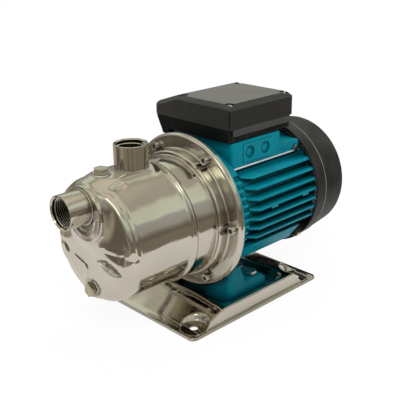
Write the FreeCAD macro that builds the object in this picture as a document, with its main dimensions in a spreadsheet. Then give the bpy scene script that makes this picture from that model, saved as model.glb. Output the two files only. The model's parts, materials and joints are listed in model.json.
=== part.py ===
import FreeCAD, Part
import math
import os

import Sketcher
from FreeCAD import Vector

# Self-priming jet pump with a finned electric motor on a pressed base plate.
# Units are millimetres. The shaft lies along X with the pump at the -X end.
# Z is up and z = 0 is the underside of the base plate.
# Places marked "zr" are heights above the shaft line.

# Driving dimensions, one group for each assembly.
SIZES = {
    # Shaft line above the floor, and the sheet that the wetted shells are pressed from.
    "shaftHeight": 114.3,
    "sheet": 2.5,
    "fitGap": 0.05,
    "looseGap": 0.3,
    # Pump casing, from the flange to the front.
    "flangeX": -44.7,
    "rimRound": 4.5,
    "rimLip": 1.5,
    "stepRise": 4.9,
    "stepX": -58.4,
    "stepRound": 2.5,
    "neckRise": 2.5,
    "beadX": -90.4,
    "beadWidth": 7.0,
    "beadRound": 3.8,
    "drumRadius": 68.5,
    "knuckle": 14.0,
    "frontX": -176.0,
    "domeRise": 5.5,
    "domeFlat": 10.0,
    "bossDrop": 1.0,
    "bossRadius": 32.0,
    "bossX": -186.0,
    "bossRound": 4.0,
    "padRise": 3.5,
    "padHalf": 24.0,
    "padFront": -168.0,
    "padBack": -93.0,
    "padCorner": 9.0,
    "padDeep": 7.0,
    "edgeRound": 3.0,
    # Threaded ports, both for a G1 thread.
    "portRadius": 19.0,
    "portBore": 15.15,
    "portMouth": 17.2,
    "portThread": 18.0,
    "portWaterway": 13.0,
    "portFlare": 5.0,
    "portBevel": 1.5,
    "portInside": 8.0,
    "dischargeFlare": 2.5,
    "suctionRise": 9.2,
    "suctionMouth": -212.3,
    "dischargeX": -117.6,
    "dischargeLong": 27.2,
    # Filler and drain plugs, both for a G1/4 thread.
    "plugThread": 6.5,
    "plugLength": 9.0,
    "plugHexAcross": 14.0,
    "plugHexHigh": 4.0,
    "plugCollar": 8.8,
    "plugCollarThick": 2.1,
    "washerThick": 1.2,
    "washerRadius": 8.4,
    "plugBoss": 9.6,
    "fillerX": -158.4,
    "fillerRise": 1.2,
    "drainInset": 15.5,
    "drainRise": 2.2,
    # Ring of cap screws that holds the casing to the bracket.
    "screwOut": 7.6,
    "flangeEdge": 10.6,
    "screwCount": 6,
    "screwShank": 3.0,
    "screwHead": 5.0,
    "screwHeadHigh": 6.0,
    "screwKey": 5.0,
    "screwReach": 6.5,
    "screwDent": 9.2,
    # Seal plate and O-ring behind the casing.
    "sealPlateSheet": 2.0,
    "sealPlateEdge": 6.0,
    "gasketRoom": 2.4,
    "skirtDeep": 8.0,
    "sealCupWall": 2.5,
    # Mechanical seal.
    "seatThick": 5.0,
    "seatProud": 1.0,
    "seatRadius": 13.5,
    "shaftGap": 1.0,
    "faceThick": 4.0,
    "faceRadius": 12.0,
    "bellowsValley": 9.8,
    "bellowsRidge": 11.6,
    "bellowsWall": 1.2,
    "bellowsFolds": 5,
    "bellowsLong": 5.0,
    "flingerRadius": 15.0,
    "flingerThick": 4.0,
    # Impeller and its nut.
    "impellerRadius": 54.0,
    "impellerWide": 11.0,
    "impellerBackGap": 4.0,
    "impellerFrontGap": 1.0,
    "shroudThick": 2.0,
    "eyeRadius": 17.0,
    "eyeWall": 2.5,
    "eyeNeck": 3.0,
    "hubRadius": 10.0,
    "hubLong": 10.0,
    "bladeCount": 6,
    "bladeThick": 2.2,
    "bladeCurve": 38.0,
    "bladeInset": 1.0,
    "nutAcross": 13.0,
    "nutHigh": 6.0,
    # Ejector parts inside the casing.
    "diffuserGap": 1.0,
    "impellerTipGap": 2.0,
    "diffuserWall": 3.0,
    "vaneCount": 9,
    "vaneThick": 3.0,
    "venturiThroat": 5.5,
    "venturiMouth": 9.5,
    "venturiWall": 2.0,
    "throatEntry": 14.0,
    "throatLong": 14.0,
    "chamberFront": -163.5,
    "chamberBack": -143.5,
    "chamberRadius": 18.5,
    "chamberWall": 3.0,
    "nozzleRadius": 7.0,
    "nozzleTip": 4.5,
    "nozzleBore": 4.5,
    "nozzleJet": 2.6,
    "nozzleFlange": 10.5,
    "nozzleFlangeThick": 2.5,
    "nozzleReach": 26.0,
    # Shaft.
    "shaftTip": 4.0,
    "shaftTipX": -80.5,
    "impellerSeat": 6.0,
    "sealSeat": 7.0,
    "shaftCollar": 12.5,
    "fanSeat": 7.0,
    "shaftEnd": 150.0,
    # Front bearing 20 x 47 x 14 and rear bearing 17 x 40 x 12.
    "frontBore": 10.0,
    "frontOuter": 23.5,
    "frontWide": 14.0,
    "frontBearingX": -34.0,
    "frontBall": 3.85,
    "rearBore": 8.5,
    "rearOuter": 20.0,
    "rearWide": 12.0,
    "rearBearingX": 110.0,
    "rearBall": 3.2,
    "raceWall": 3.3,
    "ballCount": 8,
    "ballGap": 0.2,
    # Motor bracket.
    "bracketPlateEdge": 7.0,
    "bracketPlate": 7.0,
    "bracketDrum": 70.0,
    "bracketEnd": -12.0,
    "bracketRib": 77.0,
    "ribThick": 2.6,
    "ribPitch": 8.4,
    "ribCount": 11,
    "ribLowest": -34.1,
    "bearingHub": 29.0,
    "bracketWeb": 5.0,
    "bracketRecess": 4.0,
    "spigotDeep": 4.0,
    # Motor housing.
    "barrelRadius": 66.5,
    "housingBore": 58.0,
    "housingEnd": 112.0,
    "finTip": 79.4,
    "finThick": 3.0,
    "finPitch": 12.0,
    "finCount": 7,
    "finLowest": -27.3,
    "finStart": -4.0,
    "finSlant": 9.0,
    "finPadFront": 26.0,
    "finPadRear": 84.0,
    "finPadLong": 11.0,
    "finPadLow": 4.5,
    "skirtTop": -38.0,
    "skirtLow": -60.0,
    "skirtTopHalf": 68.0,
    "skirtLowHalf": 52.0,
    "skirtEnd": 92.0,
    "deckTop": 85.0,
    "deckLow": 53.0,
    "deckHalf": 50.0,
    "deckFront": -12.0,
    "deckStep": 70.0,
    "deckRear": 106.0,
    "deckRearTop": 67.0,
    "deckCorner": 4.0,
    "knockoutRadius": 7.5,
    "knockoutDeep": 1.2,
    "knockoutFrame": 11.0,
    "knockoutRise": 0.8,
    "knockoutZ": 70.0,
    "knockoutNear": 17.0,
    "knockoutPitch": 27.0,
    # Stator and rotor.
    "statorStart": 12.0,
    "statorEnd": 88.0,
    "statorInner": 31.0,
    "slotCount": 12,
    "slotWide": 8.0,
    "slotDeep": 13.0,
    "windingInner": 33.0,
    "windingOuter": 53.0,
    "windingHead": 15.0,
    "slotLand": 2.5,
    "airGap": 0.5,
    "endRing": 8.0,
    "ringStep": 2.5,
    # Tie rods that clamp the bracket, housing and rear shield together.
    "rodCircle": 62.0,
    "rodRadius": 2.5,
    "rodHexAcross": 8.0,
    "rodHexHigh": 4.0,
    "rodStart": -28.0,
    # Rear shield.
    "shieldRadius": 70.0,
    "shieldThick": 6.0,
    "shieldSpigot": 4.0,
    "shieldHub": 25.0,
    "shieldLip": 2.0,
    "waveThick": 1.2,
    # Fan and cover.
    "fanX": 129.0,
    "fanRadius": 68.0,
    "fanDisc": 2.5,
    "fanHub": 13.0,
    "fanDeep": 17.0,
    "fanBlades": 8,
    "fanBladeThick": 2.0,
    "clipRadius": 10.5,
    "clipThick": 1.2,
    "clipGroove": 6.2,
    "coverFront": 109.3,
    "coverCrease": 128.8,
    "coverRear": 175.0,
    "coverFrontRadius": 82.0,
    "coverCreaseRadius": 80.1,
    "coverRearRadius": 75.5,
    "coverRound": 8.0,
    "coverWall": 2.0,
    "grilleWide": 5.0,
    "grilleInner": 22.0,
    "grilleCount": 16,
    "tabReach": 14.0,
    "tabWide": 12.0,
    "smallHead": 4.0,
    "smallHeadHigh": 2.5,
    "smallShank": 2.0,
    "smallReach": 6.0,
    # Terminal box.
    "trayFloor": 86.5,
    "trayTop": 102.0,
    "trayFront": -18.5,
    "trayRear": 87.5,
    "trayNear": -51.0,
    "trayFar": 71.0,
    "trayFarLow": 79.5,
    "traySlope": 10.0,
    "trayColumn": 5.5,
    "trayWall": 3.0,
    "lidFront": -20.0,
    "lidRear": 89.0,
    "lidNear": -53.0,
    "lidFar": 72.5,
    "lidTop": 130.0,
    "lidSide": 124.0,
    "lidFlatFar": 34.0,
    "lidFarTop": 117.8,
    "lidWall": 2.5,
    "lidBevel": 5.0,
    "lidScrewNear": -45.0,
    "lidScrewFar": 28.0,
    "lidScrewInset": 8.5,
    "lidPocket": 4.6,
    "lidPocketDeep": 5.0,
    "lidScrewHead": 4.0,
    "lidScrewHeadHigh": 2.6,
    "lidScrewShank": 2.0,
    "lidScrewReach": 7.0,
    "lidColumn": 6.5,
    "cableHole": 9.0,
    "cableX": 2.0,
    "blockX": 20.0,
    "blockY": -24.0,
    "blockLong": 46.0,
    "blockWide": 26.0,
    "blockHigh": 9.0,
    "studRadius": 2.5,
    "studHigh": 14.0,
    "capRadius": 15.0,
    "capLong": 64.0,
    "capY": 44.0,
    "capX": 2.0,
    "earthX": 100.0,
    "earthZ": 57.0,
    # Foot casting between the motor and the base plate.
    "footFront": -33.0,
    "footBack": 30.0,
    "footOuter": 66.0,
    "footInner": 24.0,
    "footCorner": 7.0,
    "footScrewX": 14.0,
    "footScrewNear": 34.0,
    "footScrewFar": 56.0,
    "footShank": 4.0,
    "footHexAcross": 13.0,
    "footHeadHigh": 5.0,
    "footNutHigh": 5.0,
    "footPadTop": 30.0,
    "footBevel": 6.0,
    "footDip": -6.0,
    "footTopBack": -16.0,
    "footWeb": 6.0,
    # Pressed base plate.
    "baseLong": 222.6,
    "baseSheet": 2.0,
    "baseCorner": 8.0,
    "baseLip": 6.0,
    "baseSideLip": 4.5,
    "ridgeTop": 17.0,
    "ridgeLandFront": 10.0,
    "ridgeLandRear": 27.0,
    "ridgeLand": 8.0,
    "ridgeSlope": 3.8,
    "wellGapFront": 13.0,
    "wellGapRear": 31.0,
    "wellGapSide": 3.0,
    "wellFloor": 8.0,
    "wellCorner": 12.0,
    "boltInset": 20.3,
    "boltHole": 5.0,
    "boltFlat": 17.0,
}


class Size:
    """A number that keeps the sheet expression it comes from."""

    def __init__(self, value, text):
        self.value = value
        self.text = text

    def join(self, other, sign, swap=False):
        one = self
        two = other if isinstance(other, Size) else Size(other, repr(other))
        if swap:
            one, two = two, one
        if sign == "+":
            value = one.value + two.value
        elif sign == "-":
            value = one.value - two.value
        elif sign == "*":
            value = one.value * two.value
        else:
            value = one.value / two.value
        return Size(value, f"({one.text} {sign} {two.text})")

    def __add__(self, other):
        return self.join(other, "+")

    def __radd__(self, other):
        return self.join(other, "+", True)

    def __sub__(self, other):
        return self.join(other, "-")

    def __rsub__(self, other):
        return self.join(other, "-", True)

    def __mul__(self, other):
        return self.join(other, "*")

    def __rmul__(self, other):
        return self.join(other, "*", True)

    def __truediv__(self, other):
        return self.join(other, "/")

    def __neg__(self):
        return self.join(-1, "*", True)

    def root(self):
        return Size(math.sqrt(self.value), f"sqrt({self.text})")


class Sheet:
    """Gives each driving dimension as a Size by its name."""

    def __getattr__(self, name):
        return Size(SIZES[name], f"Sizes.{name}")


def number(size):
    return size.value if isinstance(size, Size) else float(size)


def bind(target, path, size):
    """Ties one property of an object to the sheet."""
    if isinstance(size, Size):
        target.setExpression(path, size.text)


doc = FreeCAD.newDocument("JetPump")
sheet = doc.addObject("Spreadsheet::Sheet", "Sizes")
for row, (alias, value) in enumerate(SIZES.items(), start=1):
    sheet.set(f"A{row}", str(value))
    sheet.setAlias(f"A{row}", alias)
doc.recompute()
d = Sheet()
parts = []


def newBody(name, x=0, y=0, z=d.shaftHeight):
    """Starts a sub-part whose own origin is placed on the shaft line unless told otherwise."""
    body = doc.addObject("PartDesign::Body", name)
    body.Label = name
    body.Placement.Base = Vector(number(x), number(y), number(z))
    for axis, size in (("x", x), ("y", y), ("z", z)):
        bind(body, f"Placement.Base.{axis}", size)
    parts.append(body)
    return body


def originOf(body, role):
    return next(item for item in body.Origin.OriginFeatures if item.Role == role)


def newSketch(body, role, offset=0):
    """Puts a sketch on one of the body's own planes, moved along the plane's normal."""
    sketch = body.newObject("Sketcher::SketchObject", f"{body.Name}Sketch")
    sketch.AttachmentSupport = [(originOf(body, role), "")]
    sketch.MapMode = "FlatFace"
    sketch.AttachmentOffset = FreeCAD.Placement(Vector(0, 0, number(offset)), FreeCAD.Rotation())
    bind(sketch, "AttachmentOffset.Base.z", offset)
    return sketch


def pin(sketch, kind, index, point, size):
    """Fixes one coordinate of a sketch point against the sketch origin."""
    made = sketch.addConstraint(Sketcher.Constraint(kind, -1, 1, index, point, number(size)))
    bind(sketch, f"Constraints[{made}]", size)


def arcThrough(start, end, radius):
    """The short arc between two points, with its centre left of the way there if positive."""
    chord = end - start
    middle = (start + end) / 2
    lift = math.sqrt(max(radius * radius - chord.Length ** 2 / 4, 0))
    side = Vector(-chord.y, chord.x, 0).normalize() * math.copysign(1, radius)
    centre = middle + side * lift
    ends = (start, end) if radius > 0 else (end, start)
    angles = [math.atan2(spot.y - centre.y, spot.x - centre.x) for spot in ends]
    if angles[1] < angles[0]:
        angles[1] += 2 * math.pi
    return Part.ArcOfCircle(Part.Circle(centre, Vector(0, 0, 1), abs(radius)), *angles)


def outline(sketch, points):
    """Draws a closed outline. A point's third item is the radius of the arc that leaves it."""
    spots = [Vector(number(p[0]), number(p[1]), 0) for p in points]
    first = sketch.GeometryCount
    count = len(points)
    ends = []
    for i, point in enumerate(points):
        start = spots[i]
        end = spots[(i + 1) % count]
        radius = number(point[2]) if len(point) > 2 else 0
        if radius:
            sketch.addGeometry(arcThrough(start, end, radius), False)
        else:
            sketch.addGeometry(Part.LineSegment(start, end), False)
        ends.append((1, 2) if radius >= 0 else (2, 1))
    for i, point in enumerate(points):
        after = (i + 1) % count
        here = first + i
        sketch.addConstraint(
            Sketcher.Constraint("Coincident", here, ends[i][1], first + after, ends[after][0])
        )
        pin(sketch, "DistanceX", here, ends[i][0], point[0])
        pin(sketch, "DistanceY", here, ends[i][0], point[1])
        if len(point) > 2:
            radius = point[2] if number(point[2]) > 0 else 0 - point[2]
            made = sketch.addConstraint(Sketcher.Constraint("Radius", here, number(radius)))
            bind(sketch, f"Constraints[{made}]", radius)


def box(sketch, low, high):
    outline(sketch, [low, (high[0], low[1]), high, (low[0], high[1])])


def circle(sketch, x, y, radius):
    shape = Part.Circle(Vector(number(x), number(y), 0), Vector(0, 0, 1), number(radius))
    index = sketch.addGeometry(shape, False)
    pin(sketch, "DistanceX", index, 3, x)
    pin(sketch, "DistanceY", index, 3, y)
    made = sketch.addConstraint(Sketcher.Constraint("Radius", index, number(radius)))
    bind(sketch, f"Constraints[{made}]", radius)


def hexagon(sketch, x, y, across):
    """A hexagon by its width across flats, with two flats along the sketch's x axis."""
    corner = across / math.sqrt(3)
    turns = [math.radians(60 * i) for i in range(6)]
    outline(sketch, [(x + corner * math.cos(a), y + corner * math.sin(a)) for a in turns])


def addFeature(body, kind, name, adds, setup):
    before = body.Tip.Shape.Volume if body.Tip else 0
    feature = body.newObject(kind, f"{body.Name}{name}")
    setup(feature)
    body.Tip = feature
    doc.recompute()
    after = feature.Shape.Volume if not feature.Shape.isNull() else 0
    changed = after > before if adds else after < before
    if "Invalid" in feature.State or "Error" in feature.State or not changed:
        raise RuntimeError(f"{feature.Name} has no effect: {before:.1f} to {after:.1f}")
    return feature


def pad(body, sketch, length, reverse=False):
    def setup(feature):
        feature.Profile = sketch
        feature.Length = number(length)
        feature.Reversed = reverse
        bind(feature, "Length", length)

    return addFeature(body, "PartDesign::Pad", "Pad", True, setup)


def pocket(body, sketch, length, reverse=False):
    def setup(feature):
        feature.Profile = sketch
        feature.Length = number(length)
        feature.Reversed = reverse
        bind(feature, "Length", length)

    return addFeature(body, "PartDesign::Pocket", "Pocket", False, setup)


def turn(body, sketch, axis="H_Axis"):
    def setup(feature):
        feature.Profile = sketch
        feature.ReferenceAxis = (sketch, [axis])
        feature.Angle = 360

    return addFeature(body, "PartDesign::Revolution", "Turn", True, setup)


def groove(body, sketch, axis="H_Axis"):
    def setup(feature):
        feature.Profile = sketch
        feature.ReferenceAxis = (sketch, [axis])
        feature.Angle = 360

    return addFeature(body, "PartDesign::Groove", "Groove", False, setup)


def polar(body, features, count, adds=True, angle=360):
    """Repeats features about the shaft line."""
    def setup(feature):
        feature.Originals = features
        feature.Axis = (originOf(body, "X_Axis"), [""])
        feature.Angle = angle
        feature.Occurrences = int(number(count))
        bind(feature, "Occurrences", count)

    return addFeature(body, "PartDesign::PolarPattern", "Ring", adds, setup)


def row(body, features, count, length, adds, axis="Z_Axis"):
    def setup(feature):
        feature.Originals = features
        feature.Direction = (originOf(body, axis), [""])
        feature.Length = number(length)
        feature.Occurrences = int(number(count))
        bind(feature, "Length", length)
        bind(feature, "Occurrences", count)

    return addFeature(body, "PartDesign::LinearPattern", "Row", adds, setup)


def mirror(body, features, role, adds=True):
    def setup(feature):
        feature.Originals = features
        feature.MirrorPlane = (originOf(body, role), [""])

    return addFeature(body, "PartDesign::Mirrored", "Mirror", adds, setup)


def edgesAt(body, places):
    """Names of the edges of the body's last feature that pass through the given points."""
    shape = body.Tip.Shape
    names = []
    for place in places:
        spot = Part.Vertex(Vector(*[number(v) for v in place]))
        gaps = [edge.distToShape(spot)[0] for edge in shape.Edges]
        nearest = min(range(len(gaps)), key=gaps.__getitem__)
        if gaps[nearest] > 0.01:
            raise RuntimeError(f"{body.Label}: no edge at {place}")
        names.append(f"Edge{nearest + 1}")
    return names


def soften(body, radius, places, kind="Fillet"):
    """Rounds or bevels the edges that pass through the given points."""
    names = edgesAt(body, places)
    base = body.Tip
    feature = body.newObject(f"PartDesign::{kind}", f"{body.Name}{kind}")
    feature.Base = (base, names)
    sizeName = "Radius" if kind == "Fillet" else "Size"
    setattr(feature, sizeName, number(radius))
    bind(feature, sizeName, radius)
    doc.recompute()
    if "Invalid" in feature.State or "Error" in feature.State:
        raise RuntimeError(f"{body.Label}: {kind} failed at {names}")
    return feature


def turned(name, points, **place):
    """A sub-part turned about X from an outline given as (x, radius)."""
    body = newBody(name, **place)
    sketch = newSketch(body, "XZ_Plane")
    outline(sketch, points)
    turn(body, sketch)
    return body


def tube(name, start, end, inner, outer, **place):
    return turned(name, [(start, inner), (end, inner), (end, outer), (start, outer)], **place)


# Radii of the casing's rim, outward from the drum, and of the plates bolted to it.
neckRadius = d.drumRadius + d.neckRise
stepRadius = neckRadius + d.stepRise
screwCircle = stepRadius + d.screwOut
flangeRadius = screwCircle + d.flangeEdge
sealPlateRadius = screwCircle + d.sealPlateEdge
bracketPlateRadius = screwCircle + d.bracketPlateEdge
skirtRadius = stepRadius - d.sheet - d.gasketRoom
diffuserRadius = d.drumRadius - d.sheet - d.diffuserGap
diffuserInner = d.impellerRadius + d.impellerTipGap

# Heights above the shaft line.
padTop = d.drumRadius + d.padRise
dischargeTop = padTop + d.dischargeLong
bossZ = d.drumRadius - d.bossRadius - d.bossDrop
suctionZ = bossZ + d.suctionRise
drainZ = d.drainInset - d.drumRadius

# Planes across the shaft that several sub-parts share.
drainX = d.frontX - d.drainRise
plateFront = d.flangeX + d.sheet
bracketFront = plateFront + d.sealPlateSheet
bracketPlateRear = bracketFront + d.bracketPlate
webFront = plateFront - d.skirtDeep
seatFront = webFront - d.seatProud
seatBack = seatFront + d.seatThick
faceFront = seatFront - d.fitGap - d.faceThick
hubBack = faceFront - d.bellowsLong
shroudBack = webFront - d.impellerBackGap
hubFront = hubBack - d.hubLong
diffuserFront = shroudBack - d.impellerWide - d.impellerFrontGap - d.diffuserWall
shieldRear = d.housingEnd + d.shieldThick
rearRaceEnd = d.rearBearingX + d.rearWide
fanEnd = d.fanX + d.fanDeep
trayInside = d.trayFloor + d.trayWall
tabScrewX = d.coverFront - d.tabReach / 2

# Edges of the base plate, outward from the foot.
wellFront = d.footFront - d.wellGapFront
wellRear = d.footBack + d.wellGapRear
wellHalf = d.footOuter + d.wellGapSide
ridgeFront = wellFront - d.ridgeLandFront
ridgeRear = wellRear + d.ridgeLandRear
ridgeHalf = wellHalf + d.ridgeLand
panelHalf = ridgeHalf + d.ridgeSlope
panelLong = d.baseLong / 2 - d.baseLip
baseHalf = panelHalf + d.baseSideLip
boltX = d.baseLong / 2 - d.boltInset
boltY = baseHalf - d.boltInset

diagonal = math.sqrt(0.5)
rodAcross = math.cos(math.radians(30))
rodUp = math.sin(math.radians(30))


def portProfile(mouth, seat, inside, flare, side):
    """Outline of a threaded pipe socket as (distance along, radius). Side is -1 or 1."""
    deep = mouth - side * d.portThread
    return [
        (mouth, d.portMouth),
        (mouth, d.portRadius),
        (seat + side * flare, d.portRadius, flare),
        (seat, d.portRadius + flare),
        (seat, d.portRadius),
        (inside, d.portRadius),
        (inside, d.portWaterway),
        (deep, d.portWaterway),
        (deep, d.portBore),
        (mouth - side * d.portBevel, d.portBore),
    ]


def pumpCasing():
    """Pressed shell with a domed front, a drum, a bead, a stepped ring and a rolled flange."""
    body = newBody("pump_casing")
    sketch = newSketch(body, "XY_Plane", padTop - d.padDeep)
    box(sketch, (d.padFront, -d.padHalf), (d.padBack, d.padHalf))
    pad(body, sketch, d.padDeep)
    edge = padTop - d.padDeep / 2
    soften(body, d.padCorner, [(d.padFront, d.padHalf, edge), (d.padFront, -d.padHalf, edge)])
    soften(body, d.edgeRound, [(d.padBack - d.padHalf, d.padHalf, padTop)])
    domeX = d.frontX - d.domeRise
    flat = d.drumRadius - d.knuckle
    domeDeep = (flat * flat + d.domeRise * d.domeRise - d.domeFlat * d.domeFlat) / (2 * d.domeRise)
    domeRadius = (domeDeep * domeDeep + d.domeFlat * d.domeFlat).root()
    sketch = newSketch(body, "XZ_Plane")
    outline(sketch, [
        (domeX, 0),
        (domeX, d.domeFlat, -domeRadius),
        (d.frontX, flat, -d.knuckle),
        (d.frontX + d.knuckle, d.drumRadius),
        (d.beadX - d.beadWidth / 2, d.drumRadius, -d.beadRound),
        (d.beadX + d.beadWidth / 2, neckRadius),
        (d.stepX, neckRadius),
        (d.stepX, stepRadius - d.stepRound, -d.stepRound),
        (d.stepX + d.stepRound, stepRadius),
        (d.flangeX - d.stepRound, stepRadius, d.stepRound),
        (d.flangeX, stepRadius + d.stepRound),
        (d.flangeX, flangeRadius - d.rimRound, -d.rimRound),
        (d.flangeX + d.rimRound, flangeRadius),
        (d.flangeX + d.rimRound + d.rimLip, flangeRadius),
        (d.flangeX + d.rimRound + d.rimLip, flangeRadius - d.sheet),
        (d.flangeX + d.rimRound, flangeRadius - d.sheet, d.rimRound - d.sheet),
        (plateFront, flangeRadius - d.rimRound),
        (plateFront, 0),
    ])
    turn(body, sketch)
    casingBosses(body)
    casingHollow(body, domeX, flat, domeRadius)
    casingHoles(body)


def casingBosses(body):
    """Suction boss and drain boss on the front, and the filler seat on top."""
    sketch = newSketch(body, "XZ_Plane")
    top = bossZ + d.bossRadius
    outline(sketch, [
        (d.bossX, bossZ),
        (d.frontX + d.knuckle, bossZ),
        (d.frontX + d.knuckle, top),
        (d.bossX + d.bossRound, top, d.bossRound),
        (d.bossX, top - d.bossRound),
    ])
    turn(body, sketch, "Edge1")
    sketch = newSketch(body, "YZ_Plane", drainX)
    circle(sketch, 0, drainZ, d.plugBoss)
    pad(body, sketch, d.frontX + d.knuckle / 2 - drainX)
    sketch = newSketch(body, "XY_Plane", padTop + d.fillerRise)
    circle(sketch, d.fillerX, 0, d.plugBoss)
    pad(body, sketch, d.fillerRise + d.sheet / 2, reverse=True)


def casingHollow(body, domeX, flat, domeRadius):
    """Takes out the inside, one sheet thickness below the outer surface."""
    wall = d.sheet
    sketch = newSketch(body, "XZ_Plane")
    outline(sketch, [
        (domeX + wall, 0),
        (domeX + wall, d.domeFlat, -domeRadius),
        (d.frontX + wall, flat, -(d.knuckle - wall)),
        (d.frontX + d.knuckle, d.drumRadius - wall),
        (d.beadX, d.drumRadius - wall),
        (d.beadX, neckRadius - wall),
        (d.stepX + wall, neckRadius - wall),
        (d.stepX + wall, stepRadius - wall),
        (plateFront + wall, stepRadius - wall),
        (plateFront + wall, 0),
    ])
    groove(body, sketch)
    sketch = newSketch(body, "YZ_Plane", d.bossX + wall)
    circle(sketch, 0, bossZ, d.bossRadius - wall)
    pocket(body, sketch, d.frontX + d.knuckle - d.bossX, reverse=True)
    sketch = newSketch(body, "XY_Plane", padTop - wall)
    inner = d.padHalf - wall
    box(sketch, (d.padFront + wall, -inner), (d.padBack, inner))
    pocket(body, sketch, padTop - d.drumRadius + d.padDeep)


def casingHoles(body):
    """Holes for the two ports, the two plugs and the ring of screws."""
    through = 4 * d.sheet
    sketch = newSketch(body, "YZ_Plane", d.bossX - 1)
    circle(sketch, 0, suctionZ, d.portRadius + d.fitGap)
    pocket(body, sketch, through, reverse=True)
    sketch = newSketch(body, "XY_Plane", padTop + 1)
    circle(sketch, d.dischargeX, 0, d.portRadius + d.fitGap)
    pocket(body, sketch, through + d.padDeep)
    sketch = newSketch(body, "XY_Plane", padTop + d.fillerRise + 1)
    circle(sketch, d.fillerX, 0, d.plugThread + d.fitGap)
    pocket(body, sketch, through + d.padDeep)
    sketch = newSketch(body, "YZ_Plane", drainX - 1)
    circle(sketch, 0, drainZ, d.plugThread + d.fitGap)
    pocket(body, sketch, through + d.bossRound, reverse=True)
    sketch = newSketch(body, "YZ_Plane", d.stepX - 1)
    circle(sketch, -screwCircle, 0, d.screwDent)
    dent = pocket(body, sketch, d.flangeX - d.stepX + 1, reverse=True)
    sketch = newSketch(body, "YZ_Plane", d.flangeX - 1)
    circle(sketch, -screwCircle, 0, d.screwShank + d.looseGap)
    hole = pocket(body, sketch, through, reverse=True)
    polar(body, [dent, hole], d.screwCount, adds=False)


def ports():
    """The two threaded sockets, welded into the casing."""
    turned("suction_port", portProfile(d.suctionMouth, d.bossX, d.chamberFront, d.portFlare, -1),
           z=d.shaftHeight + suctionZ)
    body = newBody("discharge_port", x=d.dischargeX)
    sketch = newSketch(body, "XZ_Plane")
    points = portProfile(dischargeTop, padTop, padTop - d.portInside, d.dischargeFlare, 1)
    outline(sketch, [(p[1], p[0]) + tuple(p[2:]) for p in points])
    turn(body, sketch, "V_Axis")


def plug(name, place, tilt):
    """Hexagon plug with a collar, and the sealing washer under it."""
    body = newBody(f"{name}_plug", **place)
    body.Placement.Rotation = tilt
    sketch = newSketch(body, "XZ_Plane")
    end = -(d.washerThick + d.plugLength)
    outline(sketch, [
        (0, end),
        (d.plugThread - d.edgeRound / 3, end),
        (d.plugThread, end + d.edgeRound / 3),
        (d.plugThread, 0),
        (d.plugCollar, 0),
        (d.plugCollar, d.plugCollarThick),
        (0, d.plugCollarThick),
    ])
    turn(body, sketch, "V_Axis")
    sketch = newSketch(body, "XY_Plane", d.plugCollarThick)
    hexagon(sketch, 0, 0, d.plugHexAcross)
    pad(body, sketch, d.plugHexHigh)
    body = newBody(f"{name}_washer", **place)
    body.Placement.Rotation = tilt
    sketch = newSketch(body, "XY_Plane", -d.washerThick)
    circle(sketch, 0, 0, d.washerRadius)
    circle(sketch, 0, 0, d.plugThread + d.fitGap)
    pad(body, sketch, d.washerThick)


def plugs():
    """Filler plug on the top flat and drain plug low on the front."""
    upright = FreeCAD.Rotation()
    forward = FreeCAD.Rotation(Vector(0, 1, 0), -90)
    top = d.shaftHeight + padTop + d.fillerRise + d.washerThick
    plug("filler", {"x": d.fillerX, "z": top}, upright)
    plug("drain", {"x": drainX - d.washerThick, "z": d.shaftHeight + drainZ}, forward)


def casingScrews():
    """Socket cap screws through the flange into the bracket."""
    body = newBody("casing_screws")
    headFront = d.flangeX - d.screwHeadHigh
    sketch = newSketch(body, "YZ_Plane", headFront)
    circle(sketch, -screwCircle, 0, d.screwHead)
    head = pad(body, sketch, d.screwHeadHigh)
    sketch = newSketch(body, "YZ_Plane", d.flangeX)
    circle(sketch, -screwCircle, 0, d.screwShank)
    shank = pad(body, sketch, d.sheet + d.sealPlateSheet + d.screwReach)
    sketch = newSketch(body, "YZ_Plane", headFront)
    hexagon(sketch, -screwCircle, 0, d.screwKey)
    socket = pocket(body, sketch, d.screwHeadHigh / 2, reverse=True)
    polar(body, [head, shank, socket], d.screwCount)


def sealPlate():
    """Dished plate that closes the casing and carries the fixed seal seat."""
    web = d.sealPlateSheet
    seatHole = d.seatRadius + d.fitGap
    body = turned("seal_plate", [
        (bracketFront, sealPlateRadius),
        (plateFront, sealPlateRadius),
        (plateFront, skirtRadius),
        (webFront, skirtRadius),
        (webFront, seatHole),
        (seatBack, seatHole),
        (seatBack, d.sealSeat + d.shaftGap),
        (seatBack + web, d.sealSeat + d.shaftGap),
        (seatBack + web, d.seatRadius + d.sealCupWall),
        (webFront + web, d.seatRadius + d.sealCupWall),
        (webFront + web, skirtRadius - web),
        (bracketFront, skirtRadius - web),
    ])
    sketch = newSketch(body, "YZ_Plane", plateFront - 1)
    circle(sketch, -screwCircle, 0, d.screwShank + d.looseGap)
    hole = pocket(body, sketch, web + 2, reverse=True)
    polar(body, [hole], d.screwCount, adds=False)


def seals():
    """O-ring round the seal plate, and the parts of the mechanical shaft seal."""
    inner = stepRadius - d.sheet
    body = newBody("casing_gasket")
    sketch = newSketch(body, "XZ_Plane")
    section = (inner - skirtRadius) / 2 - d.fitGap
    circle(sketch, plateFront - d.skirtDeep / 2, (inner + skirtRadius) / 2, section)
    turn(body, sketch)
    tube("seal_stationary", seatFront, seatBack, d.sealSeat + d.shaftGap, d.seatRadius)
    tube("seal_rotary", faceFront, faceFront + d.faceThick, d.sealSeat + d.fitGap, d.faceRadius)
    folds = int(number(d.bellowsFolds))
    step = d.bellowsLong / d.bellowsFolds
    ridges = [(hubBack + step * i, d.bellowsRidge if i % 2 else d.bellowsValley) for i in range(folds + 1)]
    inside = [(x, radius - d.bellowsWall) for x, radius in reversed(ridges)]
    turned("seal_bellows", ridges + inside)
    tube("flinger", bracketFront - d.flingerThick / 2, bracketFront + d.flingerThick / 2,
         d.sealSeat + d.fitGap, d.flingerRadius)


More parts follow.
